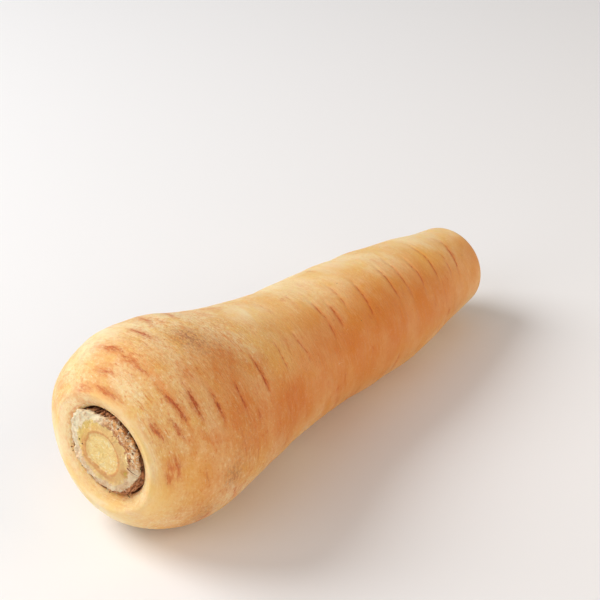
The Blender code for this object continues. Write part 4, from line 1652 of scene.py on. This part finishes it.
@dataclass
class Whiskers:
    """Fine tapering fibres: the torn ones at the stub's rim, or the hairs on the skin."""

    name: str
    length: float
    thickness: float
    bend: float
    spread: float
    wiggle: float
    seed: int
    finish: ShredFinish
    shortest: float = 0.35

    def tree(self, density: float | None) -> GrowthBench:
        """Build the tree: a bent tapering strand on each point.

        Args:
            density: strands for each square metre of a surface, or None to use the mesh's points.

        Returns:
            The tree.
        """
        sizes = {"Length": self.length * MM, "Thickness": self.thickness * MM, "Bend": self.bend * MM,
                 "Seed": self.seed}
        if density is not None:
            sizes["Density"] = density
        bench = GrowthBench(self.name, sizes)
        line = bench.node("GeometryNodeCurveQuadraticBezier", {
            "Resolution": 6, "Start": (0.0, 0.0, 0.0),
            "Middle": bench.combine(bench.size("Bend"), 0.0, bench.times(bench.size("Length"), 0.5)),
            "End": bench.combine(0.0, bench.size("Bend"), bench.size("Length")),
        }).outputs[0]
        share = bench.node("GeometryNodeSplineParameter").outputs["Factor"]
        taper = bench.minus(1.0, bench.times(share, 0.85))
        line = bench.node("GeometryNodeSetCurveRadius", {"Curve": line, "Radius": taper}).outputs[0]
        ring = bench.node("GeometryNodeCurvePrimitiveCircle", {
            "Resolution": 5, "Radius": bench.times(bench.size("Thickness"), 0.5)}).outputs[0]
        tube = bench.node("GeometryNodeCurveToMesh", {
            "Curve": line, "Profile Curve": ring, "Fill Caps": True})
        if "Scale" in tube.inputs:
            bench.join(taper, tube.inputs["Scale"])
        if density is None:
            points, out = bench.base, bench.named("out")
        else:
            spots = bench.node("GeometryNodeDistributePointsOnFaces", {
                "Mesh": bench.base, "Density": bench.size("Density"), "Seed": bench.size("Seed")})
            points, out = spots.outputs["Points"], spots.outputs["Normal"]
        lean = bench.combine(bench.random(-self.spread, self.spread, 1),
                             bench.random(-self.spread, self.spread, 2), bench.random(-math.pi, math.pi, 3))
        long = bench.random(self.shortest, 1.15, 4)
        strands = bench.scatter(points, tube.outputs[0], bench.outward(out, lean),
                                bench.combine(long, long, long), bench.random(0.0, 1.0, 5))
        strands = bench.keep_inside(bench.wiggle(strands, self.wiggle * MM, 0.9 * MM))
        bench.finish(strands, self.finish.material())
        return bench

    def build(self, base: bpy.types.Mesh, density: float | None = None) -> bpy.types.Object:
        """Make the strands' piece from a mesh of points or a surface."""
        return self.tree(density).grow(self.name, base)


@dataclass
class SoilCrumbs:
    """Dark crumbs of soil and dried skin, caught in the moat and along the stub's edge."""

    stub: StalkStub
    seed: int = 5
    on_the_rim: tuple[tuple[float, float, float], ...] = (
        (2.3, 13.0, -133), (2.6, 13.2, -129), (3.0, 13.0, -160), (3.2, 13.5, -164), (3.1, 13.0, -173),
        (3.3, 13.6, 179), (3.4, 13.9, 176), (3.3, 14.1, 179), (2.7, 12.5, 166), (1.8, 8.0, -92),
        (2.4, 13.6, -112), (2.5, 13.8, -108), (2.6, 13.1, -148), (2.9, 13.3, 172), (1.9, 9.4, -88),
        (2.1, 11.0, 60), (2.2, 12.0, 32),
    )
    finish: ShredFinish = field(default_factory=lambda: ShredFinish(
        "soil_crumb", dark=tint(44, 28, 18), light=tint(132, 96, 60), roughness=0.9, cell=1.2))

    def build(self, placing: Placing) -> bpy.types.Object:
        """Make the crumbs' piece.

        Args:
            placing: where the root lies in the frame.

        Returns:
            The finished piece.
        """
        deep = self.stub.ring_spots(((6.2, 12.9), (8.4, 12.9)), 44, seed=self.seed, jitter=0.6)
        spots = np.concatenate([np.array(self.on_the_rim), deep])
        points = self.stub.edge_points(spots, placing, "crumb_points")
        bench = GrowthBench("soil_crumbs", {"Crumb Size": 0.25 * MM, "Scatter": 0.15 * MM, "Seed": self.seed})
        grain = bench.node("GeometryNodeMeshIcoSphere", {
            "Radius": bench.size("Crumb Size"), "Subdivisions": 2})
        offset = bench.combine(*(bench.times(bench.random(-1.0, 1.0, salt), bench.size("Scatter"))
                                 for salt in (1, 2, 3)))
        turn = bench.combine(*(bench.random(0.0, 6.0, salt) for salt in (4, 5, 6)))
        spin = bench.node("FunctionNodeEulerToRotation", {0: turn}).outputs[0]
        size = bench.combine(bench.random(0.4, 1.5, 7), bench.random(0.3, 1.1, 8), bench.random(0.3, 1.0, 9))
        crumbs = bench.scatter(bench.shift(bench.base, offset), grain.outputs["Mesh"], spin, size,
                               bench.random(0.0, 1.0, 10))
        bench.finish(bench.keep_inside(bench.wiggle(crumbs, 0.22 * MM, 0.28 * MM)), self.finish.material())
        return bench.grow("soil_crumbs", points)


@dataclass
class TailCut:
    """The dry cut across the tail: a slightly crowned, slightly leaning face."""

    shape: RootShape
    points_round: int = 160
    step: float = 0.3
    depth: float = 1.6
    edge_inset: float = 0.22
    sunk: float = 0.10
    relief_sunk: float = 0.13
    ring_radius: float = 5.2

    def build(self, placing: Placing) -> bpy.types.Object:
        """Make the cut's piece, a closed lens sunk into the tail.

        Args:
            placing: turns millimetres to the frame's metres.

        Returns:
            The piece.
        """
        shape = self.shape
        radius = shape.tail_cut_radius - self.edge_inset
        radii = np.concatenate([[radius * 0.9, radius], np.arange(radius - 0.12, 0.2, -self.step)])
        angles = np.linspace(0.0, 360.0, self.points_round, endpoint=False)
        rings = np.empty((len(radii), len(angles), 3))
        for i, r in enumerate(radii):
            share = r / shape.tail_cut_radius
            middle = shape.tail_edge_at - self.sunk + shape.tail_cut_crowning * (1 - share * share)
            stations = middle + shape.tail_lean_at(r, angles)
            stations = stations - self.depth if i == 0 else stations + self.relief(r, angles)
            rings[i] = shape.place(stations, np.full(len(angles), r), angles)
        behind = shape.place(shape.tail_edge_at - self.depth, 0.0, 0.0)
        middle = shape.tail_edge_at - self.sunk - self.relief_sunk
        front = shape.place(middle + shape.tail_cut_crowning, 0.0, 0.0)
        mesh = ring_mesh("tail_cut", rings, behind, front, placing)
        disc = np.concatenate([rings.reshape(-1, 3), [behind, front]]) - front
        store(mesh, "disc", disc)
        store(mesh, "wall", np.zeros(len(disc)))
        made = add_object("tail_cut", mesh)
        made.data.materials.append(CutFinish().material("tail_cut", self.ring_radius, radius - 0.5))
        return made

    def relief(self, radius: float, angles: Array) -> Array:
        """Give the fine rays and roughness of the cut on one ring.

        Args:
            radius: the ring's radius.
            angles: the angles round the root.

        Returns:
            The heights, in millimetres.
        """
        heights = []
        for a in np.radians(angles):
            ray = noise.noise(Vector((radius * 0.4, 9 * math.sin(a), 9 * math.cos(a))))
            grit = noise.noise(Vector((1.7 * radius * math.sin(a), 1.7 * radius * math.cos(a), 4.0)))
            heights.append(0.10 * ray + 0.05 * grit)
        return np.array(heights) - self.relief_sunk


@dataclass(frozen=True)
class SoftLight:
    """One soft lamp: where it hangs, as azimuth and height round the root, and what it gives."""

    name: str
    azimuth: float
    elevation: float
    distance: float
    size: float
    power: float
    colour: tuple[float, float, float]


@dataclass
class Studio:
    """The pale floor, the soft lights and the camera."""

    placing: Placing
    camera_azimuth: float = -50.66
    camera_elevation: float = 30.27
    camera_distance: float = 463.5
    target: tuple[float, float, float] = (91.76, 0.0, 8.80)
    lens: float = 87.0
    floor_size: float = 8.0
    sky: float = 0.29
    lights: tuple[SoftLight, ...] = (
        SoftLight("key_light", 207.0, 42.0, 1.1, 0.7, 9.6, (1.0, 0.98, 0.94)),
        SoftLight("front_light", -98.0, 34.0, 1.2, 0.9, 3.2, (1.0, 0.97, 0.93)),
        SoftLight("warm_light", 28.0, 26.0, 1.2, 0.8, 4.4, (1.0, 0.70, 0.42)),
        SoftLight("near_light", -42.0, 20.0, 1.3, 0.9, 1.9, (1.0, 0.88, 0.70)),
    )

    @staticmethod
    def direction(azimuth: float, elevation: float) -> Vector:
        """Give the way from the root to a place round it; azimuth 0 is in front, at -Y."""
        a, e = math.radians(azimuth), math.radians(elevation)
        return Vector((math.sin(a) * math.cos(e), -math.cos(a) * math.cos(e), math.sin(e)))

    def aim(self, thing: bpy.types.Object, way: Vector, centre: Vector, distance: float) -> None:
        """Place a lamp or the camera out along a way and turn it to the centre."""
        thing.location = centre + way * distance
        thing.rotation_euler = (-way).to_track_quat("-Z", "Y").to_euler()
        bpy.context.scene.collection.objects.link(thing)

    def build(self) -> None:
        """Make the floor, the lights, the sky and the camera."""
        half = self.floor_size / 2
        mesh = bpy.data.meshes.new("floor")
        corners = [(-half, -half, 0), (half, -half, 0), (half, half, 0), (-half, half, 0)]
        mesh.from_pydata(corners, [], [(0, 1, 2, 3)])
        floor = add_object("floor", mesh)
        bench = ShaderBench("pale_floor")
        bench.shader.inputs["Base Color"].default_value = tint(240, 242, 247)
        bench.shader.inputs["Roughness"].default_value = 0.85
        bench.shader.inputs["Specular IOR Level"].default_value = 0.15
        mesh.materials.append(bench.material)
        centre = Vector(self.placing.to_frame(np.array(self.target)))
        for light in self.lights:
            lamp = bpy.data.lights.new(light.name, "AREA")
            lamp.shape, lamp.size, lamp.energy, lamp.color = "DISK", light.size, light.power, light.colour
            self.aim(bpy.data.objects.new(light.name, lamp), self.direction(light.azimuth, light.elevation),
                     centre, light.distance)
        world = bpy.data.worlds.new("studio")
        world.use_nodes = True
        sky = world.node_tree.nodes["Background"]
        sky.inputs["Color"].default_value = (1.0, 1.0, 1.0, 1.0)
        sky.inputs["Strength"].default_value = self.sky
        bpy.context.scene.world = world
        camera = bpy.data.cameras.new("camera")
        camera.lens, camera.sensor_width, camera.clip_start = self.lens, 36.0, 0.01
        eye = bpy.data.objects.new("camera", camera)
        towards = self.direction(self.camera_azimuth, self.camera_elevation)
        self.aim(eye, towards, centre, self.camera_distance * MM)
        bpy.context.scene.camera = eye
        bpy.context.scene.view_settings.view_transform = "Standard"


def corners(bounds: tuple[Vector, Vector]) -> list[list[float]]:
    """Turn a box's two corners to plain lists."""
    return [list(corner) for corner in bounds]


def main() -> None:
    """Build every piece in order and report it."""
    logging.basicConfig(level=logging.INFO, format="%(name)s: %(message)s")
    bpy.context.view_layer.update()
    shape = RootShape()
    skin = RootSkin(shape)
    rings, values, first, last = skin.build()
    placing = Placing.from_frame(rings, shape)
    Studio(placing).build()
    coat = skin.dress(rings, values, (first, last), placing)
    hand_over(coat)

    stub = StalkStub(shape)
    hand_over(stub.build(placing))
    hand_over(TailCut(shape).build(placing))
    hand_over(LeafScales(stub).build(placing))
    pale = ShredFinish("torn_fibre", dark=tint(196, 170, 138), light=tint(242, 232, 212),
                       roughness=0.7, cell=1.5)
    fibres = Whiskers("torn_fibres", 1.3, 0.17, 0.5, 0.9, 0.5, 21, pale)
    torn = np.concatenate([stub.ring_spots(((2.3, 12.6), (2.8, 13.0)), 15, seed=41, arc=(8.0, 100.0)),
                           stub.ring_spots(((2.5, 12.9),), 10, seed=42, arc=(140.0, 330.0))])
    hand_over(fibres.build(stub.edge_points(torn, placing, "fibre_points")))
    brown = ShredFinish("dry_strand", dark=tint(78, 40, 24), light=tint(138, 82, 50), cell=1.5)
    strands = Whiskers("dry_strands", 4.4, 0.30, 0.9, 0.08, 0.3, 6, brown, shortest=0.9)
    loose = np.array([(1.5, 9.8, 92.0), (3.0, 12.9, 4.0), (3.2, 12.8, 152.0)])
    hand_over(strands.build(stub.edge_points(loose, placing, "strand_points")))
    hand_over(SoilCrumbs(stub).build(placing))
    straw = ShredFinish("root_hair", dark=tint(216, 176, 120), light=tint(246, 230, 196),
                        roughness=0.6, cell=1.5)
    hairs = Whiskers("root_hairs", 1.5, 0.07, 0.5, 1.1, 0.3, 8, straw)
    hand_over(hairs.build(coat.data.copy(), density=2600.0))


if __name__ == "__main__":
    main()
